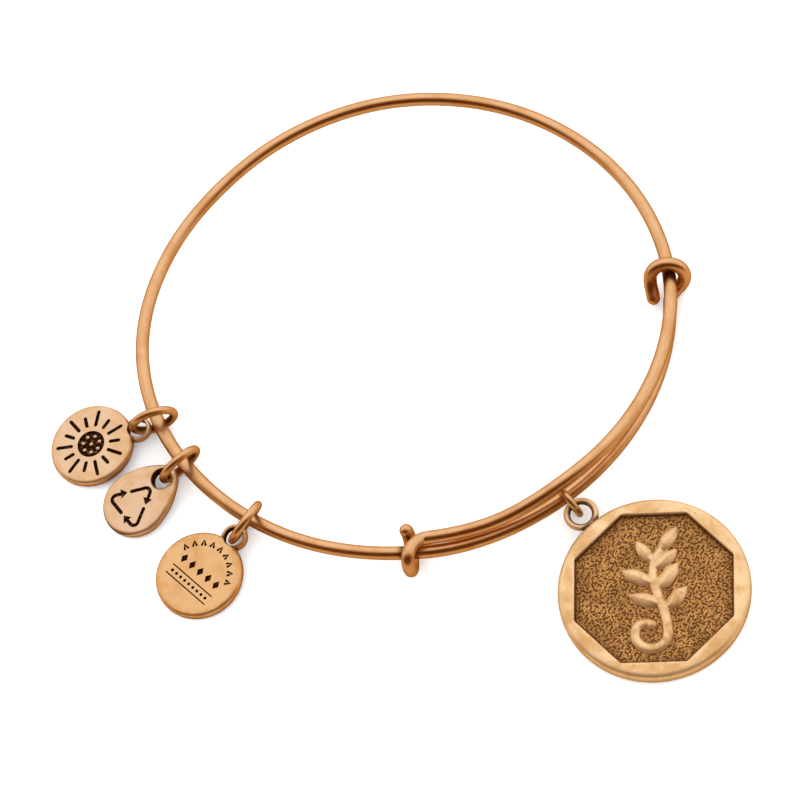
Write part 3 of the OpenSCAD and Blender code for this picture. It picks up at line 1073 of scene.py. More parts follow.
def turned(profile: Sequence[Point], steps: int) -> Any:
    """Turns a solid round the Z axis.

    Args:
        profile: Its half section, as distances from the axis and heights, from top to bottom.
        steps: Number of steps round it.

    Returns:
        The solid.
    """
    path = empty_curve()
    add_line(path, [(radius, 0, height) for radius, height in profile], closed=False)
    solid = meshed(path)
    with edited(solid):
        bpy.ops.mesh.spin(steps=steps, angle=2 * math.pi, center=(0, 0, 0), axis=(0, 0, 1))
    clean(solid, WELD)
    return solid


def flat_form(outlines: Sequence[Sequence[Point]], thickness: float) -> Any:
    """Makes a flat solid from closed outlines, with its middle at Z = 0.

    Args:
        outlines: The outlines, none of which crosses another.
        thickness: Thickness of the solid.

    Returns:
        The solid, as a mesh object.
    """
    curve = empty_curve()
    curve.data.dimensions = "2D"
    curve.data.fill_mode = "BOTH"
    curve.data.extrude = thickness / 2
    for outline in outlines:
        add_line(curve, [(x, y, 0) for x, y in outline], closed=True)
    piece = meshed(curve)
    clean(piece, WELD)
    with edited(piece):
        bpy.ops.mesh.dissolve_limited(angle_limit=math.radians(FLAT))
    return piece


def cast(piece: Any, voxel: float, passes: int) -> None:
    """Makes joined forms one casting, whose parts flow into each other.

    Args:
        piece: The object.
        voxel: Size of the grains that it is cast from.
        passes: Number of times that it is smoothed.
    """
    apply_modifier(piece, "REMESH", mode="VOXEL", voxel_size=voxel)
    apply_modifier(piece, "SMOOTH", factor=0.5, iterations=passes)


def way(angle: float) -> Vector:
    """The flat direction at an angle in degrees."""
    return Vector((math.cos(math.radians(angle)), math.sin(math.radians(angle))))


def arc(middle: Point, radius: float, start: float, end: float, steps: int) -> List[Point]:
    """Points on an arc, with angles in degrees."""
    angles = [math.radians(start + (end - start) * i / steps) for i in range(steps + 1)]
    return [(middle[0] + radius * math.cos(a), middle[1] + radius * math.sin(a)) for a in angles]


def turn_points(points: Sequence[Point], angle: float) -> List[Point]:
    """Turns points round the origin, by an angle in degrees."""
    c, s = math.cos(math.radians(angle)), math.sin(math.radians(angle))
    return [(x * c - y * s, x * s + y * c) for x, y in points]


def spread(count: int, length: float) -> List[float]:
    """Even places along a row, from one end to the other, with its middle at 0."""
    return [(i / (count - 1) - 0.5) * length for i in range(count)]


def eight_sided(x: float, y: float) -> float:
    """Distance from the middle of an eight-sided form, measured square to its sides."""
    slant = math.sqrt(0.5)
    return max(abs(x), abs(y), abs(x + y) * slant, abs(x - y) * slant)


def stroke(path: Sequence[Point], width: float, cap: float = 75, steps: int = 5) -> List[Point]:
    """Outlines a stroke of even width with round ends.

    Args:
        path: Points along its middle.
        width: Its width.
        cap: Angle to either side that a round end reaches, in degrees.
        steps: Number of steps round an end.

    Returns:
        The closed outline.
    """
    points = [Vector(p) for p in path]
    last = len(points) - 1
    ways = [(points[min(i + 1, last)] - points[max(i - 1, 0)]).normalized() for i in range(last + 1)]
    sides = [Vector((-w.y, w.x)) * width / 2 for w in ways]
    left = [tuple(p + side) for p, side in zip(points, sides)]
    right = [tuple(p - side) for p, side in zip(points, sides)]
    ahead = math.degrees(math.atan2(ways[-1].y, ways[-1].x))
    behind = math.degrees(math.atan2(-ways[0].y, -ways[0].x))
    end_cap = arc(tuple(points[-1]), width / 2, ahead + cap, ahead - cap, steps)
    start_cap = arc(tuple(points[0]), width / 2, behind + cap, behind - cap, steps)
    return left + end_cap + right[::-1] + start_cap


def coat_solid(name: str, finish: Any) -> None:
    """Gives a node of the solids a material.

    Args:
        name: The node.
        finish: Its material.
    """
    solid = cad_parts[name]
    solid.data.materials.clear()
    solid.data.materials.append(finish)


def dress(piece: Any, name: str, finish: Any, node: str, flats: bool = False) -> None:
    """Names a finished piece, gives it its material and lets it ride on the bangle.

    Args:
        piece: The object.
        name: Its name.
        finish: Its material.
        node: Node of the solid that it replaces.
        flats: Whether it has broad flat faces, which are kept from looking bent.
    """
    take(piece)
    bpy.ops.object.shade_smooth_by_angle(angle=math.radians(SHARP))
    if flats:
        apply_modifier(piece, "WEIGHTED_NORMAL", mode="FACE_AREA", keep_sharp=True)
    piece.name = piece.data.name = name
    piece.data.materials.clear()
    piece.data.materials.append(finish)
    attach(piece, BODY)
    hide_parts(node)
    coat_solid(node, finish)
    LOG.info("%s: %d faces", name, len(piece.data.polygons))


# Pieces


@dataclass
class BangleWire:
    """The bent wire, smoothed from a copy of its solid, at the same thickness."""

    node: str = "bangle_wire"
    wire_r: float = 0.8
    sides: int = 14
    levels: int = 2
    weld: float = 0.002
    quad_faces: float = 0.7
    quad_shape: float = 3.1

    def build(self) -> Any:
        """Makes quads of the many-sided wire's triangles and rounds it off.

        Returns:
            The wire.
        """
        wire = copy_of(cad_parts[self.node])
        clean(wire, self.weld * MM)
        shrinkage = (1 - math.cos(2 * math.pi / self.sides)) / 3
        with edited(wire):
            limits = {"face_threshold": self.quad_faces, "shape_threshold": self.quad_shape}
            bpy.ops.mesh.tris_convert_to_quads(**limits)
            bpy.ops.mesh.select_all(action="SELECT")
            bpy.ops.transform.shrink_fatten(value=self.wire_r * shrinkage * MM)
        apply_modifier(wire, "SUBSURF", levels=self.levels, render_levels=self.levels)
        return wire

    def dress(self) -> None:
        """Builds and finishes the wire."""
        finish = DrawnWire("drawn_rose_metal", **ROSE).material()
        dress(self.build(), "wire_ring", finish, self.node)


@dataclass
class JumpRing:
    """A jump ring, which keeps its solid and gets a finish of its own."""

    node: str
    middle: Place
    azimuth: float
    lean: float
    colours: Palette
    mean_r: float = 2.55
    wire_r: float = 0.5

    def axis(self) -> Place:
        """Direction of the ring's axis."""
        a, b = math.radians(self.azimuth), math.radians(self.lean)
        return (-math.sin(a) * math.cos(b), math.cos(a) * math.cos(b), math.sin(b))

    def dress(self) -> None:
        """Gives the ring its finish."""
        finish = RingMetal(
            self.node + "_metal",
            middle=self.middle,
            axis=self.axis(),
            mean_r=self.mean_r,
            wire_r=self.wire_r,
            **self.colours,
        )
        coat_solid(self.node, finish.material())
        LOG.info("%s: keeps its solid, finish %s", self.node, finish.name)


@dataclass
class StruckCharm:
    """A small flat charm: a plate with softened edges and a bored hole, and marks cut in its face."""

    node: str
    name: str
    form: CharmForm
    colours: Palette
    softness: float = 0.58
    bevel_segments: int = 8
    bevel_profile: float = 0.6
    bevel_past: float = 40
    hole_steps: int = 80
    mouth_w: float = 0.1
    mouth_steps: int = 5
    engrave_w: float = 0.45

    def plate(self) -> Any:
        """Makes the plate with its hole, still without marks."""
        raise NotImplementedError

    def marks(self) -> List[List[List[Point]]]:
        """Outlines the marks round the charm's middle, in groups that don't cross themselves."""
        raise NotImplementedError

    def raised(self) -> List[Any]:
        """Makes the pieces that stand up in the marks."""
        return []

    def soften(self, plate: Any, width: float) -> None:
        """Rounds the outer edges of a plate.

        Args:
            plate: The plate.
            width: Width of the rounding.
        """
        apply_modifier(
            plate,
            "BEVEL",
            width=width,
            segments=self.bevel_segments,
            profile=self.bevel_profile,
            limit_method="ANGLE",
            angle_limit=math.radians(self.bevel_past),
        )

    def bore(self, plate: Any, half: float) -> None:
        """Bores the hole at the origin with a drill that rounds its mouths.

        Args:
            plate: The plate.
            half: Half the thickness round the hole.
        """
        radius, width = self.form.hole_r, self.mouth_w
        angles = [math.pi / 2 * i / self.mouth_steps for i in range(self.mouth_steps, -1, -1)]
        mouth = [(radius + width * (1 - math.cos(a)), half + width * (math.sin(a) - 1)) for a in angles]
        top = half + self.form.thickness
        upper = [(0.0, top), (radius + width, top), *mouth]
        lower = [(r, -z) for r, z in reversed(upper)]
        carve(plate, turned([*upper, *lower], self.hole_steps))

    def build(self) -> Any:
        """Makes the plate, cuts the marks and hangs the charm.

        Returns:
            The charm.
        """
        charm = self.plate()
        face = Matrix.Translation((-self.form.middle, 0, self.form.thickness / 2))
        for group in self.marks():
            tool = flat_form(group, 2 * self.form.engrave_depth)
            move(tool, face)
            carve(charm, tool)
        charm = merged([charm, *self.raised()])
        move(charm, self.form.hangs.matrix())
        return charm

    def dress(self) -> None:
        """Builds and finishes the charm."""
        finish = StruckMetal(self.name + "_metal", form=self.form, **self.colours)
        dress(self.build(), self.name, finish.material(), self.node, flats=True)


@dataclass
class RoundCharm(StruckCharm):
    """A round charm with a lug for its ring."""

    rim_steps: int = 160
    lug_r: float = 1.6
    lug_t: float = 0.9
    lug_softness: float = 0.38

    def plate(self) -> Any:
        """Makes the disc, joins the lug on and bores it.

        Returns:
            The plate.
        """
        disc = fresh(
            bpy.ops.mesh.primitive_cylinder_add,
            vertices=self.rim_steps,
            radius=self.form.body_r,
            depth=self.form.thickness,
            location=(-self.form.middle, 0, 0),
        )
        self.soften(disc, self.softness)
        lug = fresh(
            bpy.ops.mesh.primitive_cylinder_add,
            vertices=self.hole_steps,
            radius=self.lug_r,
            depth=self.lug_t,
        )
        self.soften(lug, self.lug_softness)
        carve(disc, lug, Cut.ON)
        self.bore(disc, self.lug_t / 2)
        return disc


@dataclass
class SunCharm(RoundCharm):
    """The sun charm: a studded field with rays of two lengths round it."""

    ray_count: int = 14
    ray_from: float = 2.475
    ray_to: float = 4.175
    short_share: float = 0.6
    sun_r: float = 1.7
    sun_steps: int = 120
    stud_count: int = 7
    stud_r: float = 0.28
    stud_ring_share: float = 0.62

    def marks(self) -> List[List[List[Point]]]:
        """Outlines the round field and the rays.

        Returns:
            The outlines, in one group.
        """
        outlines = [arc((0, 0), self.sun_r, 0, 360 - 360 / self.sun_steps, self.sun_steps - 1)]
        for i in range(self.ray_count):
            share = 1 if i % 2 == 0 else self.short_share
            end = self.ray_from + (self.ray_to - self.ray_from) * share
            ray = stroke([(self.ray_from, 0), (end, 0)], self.engrave_w)
            outlines.append(turn_points(ray, 360 * (i + 0.5) / self.ray_count))
        return [outlines]

    def raised(self) -> List[Any]:
        """Makes domed studs on the field: one in the middle and the others round it.

        Returns:
            The studs.
        """
        stud = fresh(
            bpy.ops.mesh.primitive_uv_sphere_add, segments=24, ring_count=16, radius=self.stud_r
        )
        form = self.form
        height = form.engrave_depth / self.stud_r
        floor = form.thickness / 2 - form.engrave_depth
        move(stud, Matrix.Translation((-form.middle, 0, floor)) @ Matrix.Diagonal((1, 1, height, 1)))
        studs = [stud]
        for i in range(self.stud_count):
            side = way(360 * i / self.stud_count) * self.sun_r * self.stud_ring_share
            other = copy_of(stud)
            move(other, Matrix.Translation((*side, 0)))
            studs.append(other)
        return studs


@dataclass
class TagCharm(RoundCharm):
    """The tag charm: an arc of ticks, a row of lozenges and a row of dots between two rules."""

    tick_count: int = 9
    tick_arc: Span = (22, 158)
    tick_r: float = 3.922
    tick_l: float = 0.5724
    tick_h: float = 0.424
    tick_w: float = 0.288
    lozenge_count: int = 5
    lozenge_w: float = 0.84
    lozenge_h: float = 1.24
    bold_row_l: float = 5.406
    bold_row_y: float = 0.3604
    rule_l: float = 6.678
    rule_w: float = 0.16
    rule_rows: Span = (-0.9858, -2.226)
    dot_count: int = 9
    dot_r: float = 0.2
    dot_steps: int = 24
    dot_row_l: float = 5.618
    marks_turn: float = -90

    def marks(self) -> List[List[List[Point]]]:
        """Outlines the ticks, lozenges, rules and dots.

        Returns:
            The outlines, in one group.
        """
        x, y = self.tick_l / 2, self.tick_h / 2
        tick = stroke(
            [(self.tick_r - x, -y), (self.tick_r + x, 0), (self.tick_r - x, y)], self.tick_w
        )
        start, end = self.tick_arc
        turns = spread(self.tick_count, end - start)
        outlines = [turn_points(tick, (start + end) / 2 + turn) for turn in turns]
        w, h, y = self.lozenge_w / 2, self.lozenge_h / 2, self.bold_row_y
        for x in spread(self.lozenge_count, self.bold_row_l):
            outlines.append([(x - w, y), (x, y - h), (x + w, y), (x, y + h)])
        w, h = self.rule_l / 2, self.rule_w / 2
        for y in self.rule_rows:
            outlines.append([(-w, y - h), (w, y - h), (w, y + h), (-w, y + h)])
        row = sum(self.rule_rows) / 2
        for x in spread(self.dot_count, self.dot_row_l):
            outlines.append(arc((x, row), self.dot_r, 0, 360 - 360 / self.dot_steps, self.dot_steps - 1))
        return [[turn_points(outline, self.marks_turn) for outline in outlines]]


@dataclass
class TeardropCharm(StruckCharm):
    """The teardrop charm, with three arrows that chase each other."""

    tip_r: float = 1.85
    length: float = 4.3
    side_r: float = 9.0
    side_gap: float = 1.5
    tip_steps: int = 20
    side_steps: int = 14
    body_steps: int = 46
    arrow_reach: float = 3.25
    arrow_bend: float = 60
    arrow_bend_r: float = 0.55
    arrow_bend_steps: int = 10
    arrow_head_w: float = 0.62
    tail_share: float = 0.31
    neck_share: float = 0.11
    head_share: float = 0.15

    def outline(self) -> List[Point]:
        """Outlines the teardrop by the arcs of its tip, its sides and its body.

        Returns:
            The closed outline.
        """
        body_r = self.form.body_r
        near, far = self.side_r - body_r, self.side_r - self.tip_r
        x = (near * near - far * far - self.length**2) / (2 * self.length)
        y = math.sqrt(far * far - x * x)
        tip = math.degrees(math.atan2(y, -x))
        body = math.degrees(math.atan2(y, -(x + self.length)))
        upper = arc((0, 0), self.tip_r, 0, tip, self.tip_steps)
        start, end = tip + self.side_gap, body - self.side_gap
        upper += arc((x, -y), self.side_r, start, end, self.side_steps)
        upper += arc((-self.length, 0), body_r, body, 180, self.body_steps)
        return upper + [(px, -py) for px, py in upper[-2:0:-1]]

    def plate(self) -> Any:
        """Makes the teardrop's plate and bores it.

        Returns:
            The plate.
        """
        plate = flat_form([self.outline()], self.form.thickness)
        self.soften(plate, self.softness)
        self.bore(plate, self.form.thickness / 2)
        return plate

    def marks(self) -> List[List[List[Point]]]:
        """Outlines the three bent arrows.

        Returns:
            The outlines of the shafts, and of the heads, which overlap them.
        """
        side, turn = self.arrow_reach * math.sqrt(3), self.arrow_bend
        middle = (self.arrow_reach - 2 * self.arrow_bend_r, 0)
        bend = arc(middle, self.arrow_bend_r, turn, -turn, self.arrow_bend_steps)
        head_way = way(270 - turn)
        tail = Vector(bend[0]) + way(90 + turn) * side * self.tail_share
        neck = Vector(bend[-1]) + head_way * side * self.neck_share
        across = Vector((-head_way.y, head_way.x)) * self.arrow_head_w
        tip = neck + head_way * side * self.head_share
        shaft = stroke([tuple(tail), *bend, tuple(neck)], self.engrave_w)
        head = [tuple(neck + across), tuple(tip), tuple(neck - across)]
        return [[turn_points(form, angle) for angle in (0, 120, 240)] for form in (shaft, head)]


@dataclass(frozen=True)
class Knot:
    """A point of a curved stem, with its handles as ways from it and its thickness as a share."""

    place: Vector
    back: Vector
    ahead: Vector
    thick: float


@dataclass(frozen=True)
class Leaf:
    """Where a leaf stands: its share of the way up the stem, its side, its lean and its size."""

    share: float
    side: int
    lean: float
    size: float


@dataclass
class Medallion:
    """The medallion: a pillowed rim, a stippled recess, a raised sprig and a soldered eye.

    The places and lengths of the stem and its curl are shares of the recess's width.
    """

    node: str = "medallion"
    form: MedallionForm = MEDALLION
    pillow: float = 3.2
    pillow_steps: int = 14
    rim_steps: int = 192
    half_side: float = 22.5
    lip: float = 0.16
    lip_segments: int = 4
    bed: float = 0.3
    overlap: float = 0.01
    cell: float = 0.07
    stipple_size: float = 0.25
    stipple_turn: float = 28.0
    stipple_contrast: float = 2.4
    stipple_weld: float = 0.0005
    stem_w: float = 1.3
    stem_top: Point = (0.038, 0.257)
    top_pull: Point = (0.131, 0.186)
    foot_pull: Point = (0.005, 0.197)
    curl_at: Point = (-0.016, -0.3)
    curl_r: float = 0.104
    curl_step: float = 0.036
    curl_end: float = 60.0
    slope_most: float = 0.98
    round_pull: float = 0.5523
    ball_share: float = 0.49
    leaf_l: float = 4.1
    leaf_w: float = 1.8
    leaves: Tuple[Leaf, ...] = (
        Leaf(share=0.25, side=-1, lean=58, size=1.0),
        Leaf(share=0.33, side=1, lean=52, size=1.0),
        Leaf(share=0.5, side=-1, lean=54, size=1.05),
        Leaf(share=0.58, side=1, lean=50, size=1.05),
        Leaf(share=0.75, side=-1, lean=46, size=0.95),
        Leaf(share=0.83, side=1, lean=46, size=0.9),
        Leaf(share=0.96, side=1, lean=-4, size=1.0),
    )
    sprig_voxel: float = 0.06
    sprig_passes: int = 3
    sprig_foot: float = 0.12
    eye_voxel: float = 0.05
    eye_passes: int = 4
    solder_in: float = 0.1
    solder_size: Place = (0.45, 0.95, 0.42)

    @property
    def level(self) -> float:
        """Height of the recess floor's mean level above the middle of the thickness."""
        return self.form.thickness / 2 - self.form.sunk

    @property
    def corner_r(self) -> float:
        """Distance of the recess's corners from its middle."""
        return self.form.across / 2 / math.cos(math.radians(self.half_side))

    def upright(self) -> Matrix:
        """The move from the upright drawing of the medallion to its hung place."""
        turn = Matrix.Rotation(math.radians(self.form.upright), 4, "Z")
        return self.form.hangs.matrix() @ Matrix.Translation((-self.form.offset, 0, 0)) @ turn

    def on_lip(self, point: Vector) -> bool:
        """Says whether a point lies on the mouth of the recess."""
        level = abs(point.z - self.form.thickness / 2) < WELD
        return level and abs(eight_sided(point.x, point.y) - self.form.across / 2) < 3 * WELD

    def rim(self) -> Any:
        """Turns the disc with its pillowed edge and cuts the eight-sided recess.

        Returns:
            The rim.
        """
        half, inner = self.form.thickness / 2, self.corner_r + 2 * self.overlap
        width, power = self.form.outer_r - inner, 2 / self.pillow
        angles = [math.pi / 2 * i / self.pillow_steps for i in range(self.pillow_steps + 1)]
        upper = [(inner + math.sin(a) ** power * width, math.cos(a) ** power * half) for a in angles]
        lower = [(r, -z) for r, z in upper[-2::-1]]
        disc = turned([(0.0, half), *upper, *lower, (0.0, -half)], self.rim_steps)
        tool = fresh(
            bpy.ops.mesh.primitive_cylinder_add,
            vertices=8,
            radius=self.corner_r,
            depth=2 * self.form.depth,
            location=(0, 0, half),
            rotation=(0, 0, math.radians(self.half_side)),
        )
        carve(disc, tool)
        with edited_edges(disc, self.on_lip):
            bpy.ops.mesh.bevel(offset=self.lip, segments=self.lip_segments, profile=0.5)
        move(disc, self.upright())
        return disc

    def stipple(self) -> Any:
        """Makes the texture that raises the worm-like stipple.

        Returns:
            The texture.
        """
        texture = bpy.data.textures.new("worm_stipple", "CLOUDS")
        texture.noise_basis = "IMPROVED_PERLIN"
        texture.noise_type = "SOFT_NOISE"
        texture.noise_scale = self.stipple_size
        texture.noise_depth = 0
        texture.contrast = self.stipple_contrast
        return texture

    def field(self) -> Any:
        """Makes the recess floor, with a worm-like stipple in its surface.

        The texture's own grid is turned, so that its rows don't show along the recess's sides.

        Returns:
            The floor.
        """
        across = self.form.across
        cells = round(across / self.cell)
        floor = fresh(
            bpy.ops.mesh.primitive_grid_add,
            x_subdivisions=cells,
            y_subdivisions=cells,
            size=across + 2 * self.overlap,
            location=(0, 0, self.level),
        )
        for angle in (45, 135, 225, 315):
            side = way(angle).to_3d()
            bisect(floor, side * (across / 2 + self.overlap), side)
        turn = Matrix.Rotation(math.radians(self.stipple_turn), 4, "Z")
        move(floor, turn)
        apply_modifier(
            floor,
            "DISPLACE",
            texture=self.stipple(),
            strength=self.form.stipple_depth,
            mid_level=0.5,
            texture_coords="LOCAL",
            direction="Z",
        )
        move(floor, turn.inverted())
        base = self.form.thickness / 2 - self.form.depth - self.bed
        with edited_edges(floor, lambda point: False):
            bpy.ops.mesh.select_non_manifold()
            bpy.ops.mesh.extrude_region_move(TRANSFORM_OT_translate={"value": (0, 0, -self.bed)})
            bpy.ops.transform.resize(value=(1, 1, 0), center_override=(0, 0, base))
            bpy.ops.mesh.edge_face_add()
        clean(floor, self.stipple_weld)
        move(floor, self.upright())
        return floor

    def stalk(self) -> List[Vector]:
        """Guides the stem's straight part from its foot to its top.

        Returns:
            The four guide points of the curve.
        """
        curl, top = Vector(self.curl_at), Vector(self.stem_top)
        foot = curl + Vector((self.curl_r, 0))
        guides = (foot, foot + Vector(self.foot_pull), top - Vector(self.top_pull), top)
        return [guide * self.form.across for guide in guides]

    def knots(self) -> List[Knot]:
        """Lays the stem's knots from its top, down to its foot and round the curl.

        Returns:
            The knots.
        """
        a = self.form.across
        up, right = Vector((0, 1)), Vector((1, 0))
        foot, _, _, top = self.stalk()
        curl, outer = Vector(self.curl_at) * a, self.curl_r * a
        inner = outer - self.curl_step * a
        heart = curl - right * self.curl_step * a
        wide, narrow, short = outer * self.round_pull, inner * self.round_pull, inner * 0.2
        pull, along = Vector(self.top_pull) * a, way(self.curl_end - 90)
        return [
            Knot(top, pull * 0.3, -pull, 0.8),
            Knot(foot, Vector(self.foot_pull) * a, -up * wide, 1.0),
            Knot(curl - up * outer, right * wide, -right * wide, 1.0),
            Knot(curl - right * outer, -up * wide, up * narrow, 0.95),
            Knot(heart + up * inner, -right * narrow, right * short, 0.9),
            Knot(heart + way(self.curl_end) * inner, -along * short, along * short, 0.9),
        ]

    def stem(self) -> Any:
        """Makes the sprig's stem, whose foot curls up and ends in a ball.

        Returns:
            The stem.
        """
        knots = self.knots()
        curve = empty_curve()
        curve.data.bevel_depth = self.stem_w / 2
        curve.data.bevel_resolution = 6
        curve.data.resolution_u = 20
        curve.data.use_fill_caps = True
        spline = curve.data.splines.new("BEZIER")
        spline.bezier_points.add(len(knots) - 1)
        for point, knot in zip(spline.bezier_points, knots):
            point.handle_left_type = point.handle_right_type = "FREE"
            point.co = knot.place.to_3d()
            point.handle_left = (knot.place + knot.back).to_3d()
            point.handle_right = (knot.place + knot.ahead).to_3d()
            point.radius = knot.thick
        ball = fresh(
            bpy.ops.mesh.primitive_uv_sphere_add,
            segments=32,
            ring_count=16,
            radius=self.stem_w * self.ball_share,
            location=knots[-1].place.to_3d(),
        )
        stem = merged([meshed(curve), ball])
        move(stem, Matrix.Diagonal((1, 1, self.form.sunk * 2 / self.stem_w, 1)))
        return stem

    def stem_point(self, share: float) -> Tuple[Vector, float]:
        """Finds a point of the stem's straight part and the stem's angle there.

        Args:
            share: Share of the way from its foot to its top.

        Returns:
            The point, and the angle in degrees.
        """
        guides, t = self.stalk(), share
        weights = ((1 - t) ** 3, 3 * t * (1 - t) ** 2, 3 * t * t * (1 - t), t**3)
        point = sum((guide * weight for guide, weight in zip(guides, weights)), Vector((0, 0)))
        t = min(t, self.slope_most)
        slopes = ((1 - t) ** 2, 2 * t * (1 - t), t * t)
        run = sum(((guides[i + 1] - guides[i]) * w for i, w in enumerate(slopes)), Vector((0, 0)))
        return point, math.degrees(math.atan2(run.y, run.x))

    def leaf(self) -> Any:
        """Makes one leaf with a ridge down its middle, its foot at the origin.

        Returns:
            The leaf.
        """
        radius = (self.leaf_l**2 + self.leaf_w**2) / 4 / self.leaf_w
        leaf = fresh(
            bpy.ops.mesh.primitive_uv_sphere_add,
            segments=96,
            ring_count=64,
            radius=radius,
            location=(0, self.leaf_w / 2 - radius, 0),
        )
        bisect(leaf, (0, 0, 0), (0, -1, 0))
        apply_modifier(leaf, "MIRROR", use_axis=(False, True, False), merge_threshold=2 * WELD)
        lift = self.form.depth / (self.leaf_l / 2)
        move(leaf, Matrix.Translation((self.leaf_l / 2, 0, 0)) @ Matrix.Diagonal((1, 1, lift, 1)))
        clean(leaf, WELD)
        return leaf

    def sprig(self) -> Any:
        """Makes the raised sprig as one casting of the stem and the leaves.

        Returns:
            The sprig.
        """
        pattern = self.leaf()
        parts = [self.stem()]
        for leaf in self.leaves:
            point, angle = self.stem_point(leaf.share)
            turn = Matrix.Rotation(math.radians(angle + leaf.side * leaf.lean), 4, "Z")
            part = copy_of(pattern)
            size = Matrix.Diagonal((leaf.size, leaf.size, 1, 1))
            move(part, Matrix.Translation(point.to_3d()) @ turn @ size)
            parts.append(part)
        bpy.data.objects.remove(pattern)
        sprig = merged(parts)
        cast(sprig, self.sprig_voxel, self.sprig_passes)
        bisect(sprig, (0, 0, -self.sprig_foot), (0, 0, -1), fill=True)
        move(sprig, self.upright() @ Matrix.Translation((0, 0, self.level)))
        return sprig

    def eye(self) -> Any:
        """Makes the eye with the solder that holds it on the rim.

        Returns:
            The eye.
        """
        form = self.form
        wire_r = (form.eye_d - form.eye_hole) / 4
        ring = fresh(
            bpy.ops.mesh.primitive_torus_add,
            major_radius=form.eye_d / 2 - wire_r,
            minor_radius=wire_r,
            major_segments=96,
            minor_segments=32,
        )
        solder = fresh(
            bpy.ops.mesh.primitive_uv_sphere_add,
            segments=48,
            ring_count=24,
            radius=1.0,
            location=(-form.eye_d / 2 + self.solder_in, 0, 0),
            scale=self.solder_size,
        )
        eye = merged([ring, solder])
        cast(eye, self.eye_voxel, self.eye_passes)
        move(eye, form.hangs.matrix())
        return eye

    def dress(self) -> None:
        """Builds and finishes the medallion's pieces."""
        sprig = {"smudge_size": 1.4, "smudge": 0.8, **WORN_YELLOW}
        pieces = (
            ("medallion_rim", self.rim, CastMetal, PALE_YELLOW, True),
            ("medallion_recess", self.field, StippledMetal, PALE_YELLOW, False),
            ("medallion_sprig", self.sprig, CastMetal, sprig, False),
            ("medallion_eye", self.eye, CastMetal, {"grain_size": 0.1, **PALE_YELLOW}, False),
        )
        for name, build, kind, looks, flats in pieces:
            finish = kind(name + "_metal", **looks).material()
            dress(build(), name, finish, self.node, flats)


# Studio


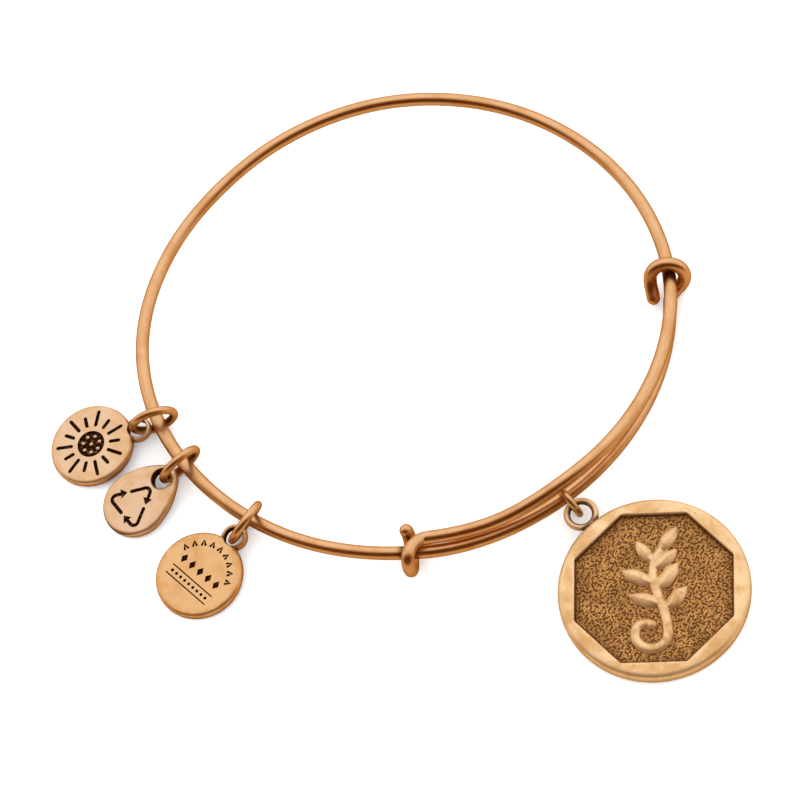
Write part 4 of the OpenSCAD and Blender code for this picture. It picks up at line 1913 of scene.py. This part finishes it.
@dataclass
class Studio:
    """The plain floor, the soft light and the camera."""

    eye: Place = (-0.00008, -0.3004, 0.521415)
    aim: Place = (-0.003764, -0.00958, 0.0018)
    roll: float = 21.63
    lens: float = 226.88
    sensor: float = 36.0
    clips: Span = (0.05, 20.0)
    floor_r: float = 3.0
    floor_colour: Colour = (0.93, 0.93, 0.93)
    floor_mirrored: Colour = (0.4, 0.3, 0.165)
    lamp_at: Place = (0.17, 0.42, 0.62)
    lamp_size: float = 0.9
    lamp_glow: float = 0.15
    backdrop: Colour = (0.94, 0.94, 0.94)
    fill: float = 1.95
    far_side: Colour = (0.96, 0.96, 0.92)
    far_foot: Colour = (0.72, 0.47, 0.2)
    near_side: Colour = (0.1, 0.026, 0.0)
    near_foot: Colour = (0.6, 0.42, 0.2)
    far_way: float = 68.4
    far_edge: Span = (-0.2, 0.08)
    near_edge: Span = (-0.4, -0.12)
    foot_edge: Span = (0.02, 0.2)

    def floor(self) -> None:
        """Lays the floor, white to the camera and warmer where the metal mirrors it."""
        floor = fresh(
            bpy.ops.mesh.primitive_circle_add, vertices=96, radius=self.floor_r, fill_type="NGON"
        )
        floor.name = "studio_floor"
        paint = bpy.data.materials.new("studio_floor_paint")
        paint.use_nodes = True
        sheet = NodeSheet(paint.node_tree)
        ray = sheet.add("ShaderNodeLightPath", {}, {})
        seen, mirrored = (
            sheet.out(sheet.add("ShaderNodeBsdfDiffuse", {}, {"Color": (*colour, 1.0)}), "BSDF")
            for colour in (self.floor_colour, self.floor_mirrored)
        )
        coat = sheet.blend(sheet.out(ray, "Is Glossy Ray"), seen, mirrored)
        sheet.add("ShaderNodeOutputMaterial", {}, {"Surface": coat})
        floor.data.materials.append(paint)

    def lamp(self) -> None:
        """Hangs one broad soft lamp beyond the bangle."""
        bpy.ops.object.select_all(action="DESELECT")
        bpy.ops.object.light_add(type="AREA", location=self.lamp_at)
        lamp = bpy.context.object
        lamp.name = "studio_lamp"
        lamp.rotation_euler = Vector(self.lamp_at).to_track_quat("Z", "Y").to_euler()
        lamp.data.shape = "DISK"
        lamp.data.size = self.lamp_size
        lamp.data.energy = self.lamp_glow * math.pi * math.pi * self.lamp_size**2 / 4

    def surround(self) -> None:
        """Sets the room: an even fill, and for the metal to mirror a pale far side and a dark near one."""
        world = bpy.data.worlds.new("studio_room")
        world.use_nodes = True
        sheet = NodeSheet(world.node_tree)
        look = sheet.out(sheet.add("ShaderNodeTexCoord", {}, {}), "Generated")
        beyond = sheet.dot(look, (*way(self.far_way), 0.0))
        rise = sheet.dot(look, (0.0, 0.0, 1.0)).step(*self.foot_edge)
        near = sheet.mix(rise, self.near_foot, self.near_side)
        shade = sheet.mix(beyond.step(*self.near_edge), near, self.far_foot)
        room = sheet.mix(beyond.step(*self.far_edge), shade, self.far_side)
        glows = (
            {"Color": room},
            {"Color": (1.0, 1.0, 1.0, 1.0), "Strength": self.fill},
            {"Color": (*self.backdrop, 1.0)},
        )
        mirrored, fill, pale = (
            sheet.out(sheet.add("ShaderNodeBackground", {}, glow), "Background") for glow in glows
        )
        ray = sheet.add("ShaderNodeLightPath", {}, {})
        lit = sheet.blend(sheet.out(ray, "Is Glossy Ray"), fill, mirrored)
        whole = sheet.blend(sheet.out(ray, "Is Camera Ray"), lit, pale)
        sheet.add("ShaderNodeOutputWorld", {}, {"Surface": whole})
        world.cycles.sampling_method = "NONE"
        bpy.context.scene.world = world

    def camera(self) -> None:
        """Sets the camera at the photograph's angle."""
        bpy.ops.object.select_all(action="DESELECT")
        bpy.ops.object.camera_add(location=self.eye)
        camera = bpy.context.object
        camera.name = "studio_camera"
        camera.data.lens = self.lens
        camera.data.sensor_width = self.sensor
        camera.data.clip_start, camera.data.clip_end = self.clips
        look = (Vector(self.aim) - Vector(self.eye)).to_track_quat("-Z", "Y").to_matrix().to_4x4()
        roll = Matrix.Rotation(math.radians(-self.roll), 4, "Z")
        camera.matrix_world = Matrix.Translation(self.eye) @ look @ roll
        bpy.context.scene.camera = camera

    def build(self) -> None:
        """Builds the whole studio."""
        self.floor()
        self.lamp()
        self.surround()
        self.camera()
        view = bpy.context.scene.view_settings
        view.view_transform = "Standard"
        view.look = "None"
        view.exposure = 0.0
        view.gamma = 1.0


def main() -> None:
    """Builds the studio and the bangle's pieces."""
    logging.basicConfig(level=logging.INFO, format="%(name)s %(message)s")
    Studio().build()
    pieces = (
        BangleWire(),
        JumpRing("sun_jump_ring", (-31.9749, -0.8373, 3.0252), -181, -8, ROSE),
        JumpRing("teardrop_jump_ring", (-30.7684, -7.6714, 2.9631), -158, -15, ROSE),
        JumpRing("tag_jump_ring", (-25.7945, -18.0615, 2.8643), -144, -22, ROSE),
        JumpRing("medallion_jump_ring", (10.4708, -30.4095, 2.3808), -75, 8, YELLOW, 1.975, 0.425),
        SunCharm("sun_charm", "sun_disc", SUN, PALE_ROSE),
        TagCharm("tag_charm", "tag_disc", TAG, DEEP_ROSE),
        TeardropCharm("teardrop_charm", "teardrop_plate", TEARDROP, PALE_ROSE),
        Medallion(),
    )
    for piece in pieces:
        piece.dress()


if __name__ == "__main__":
    main()
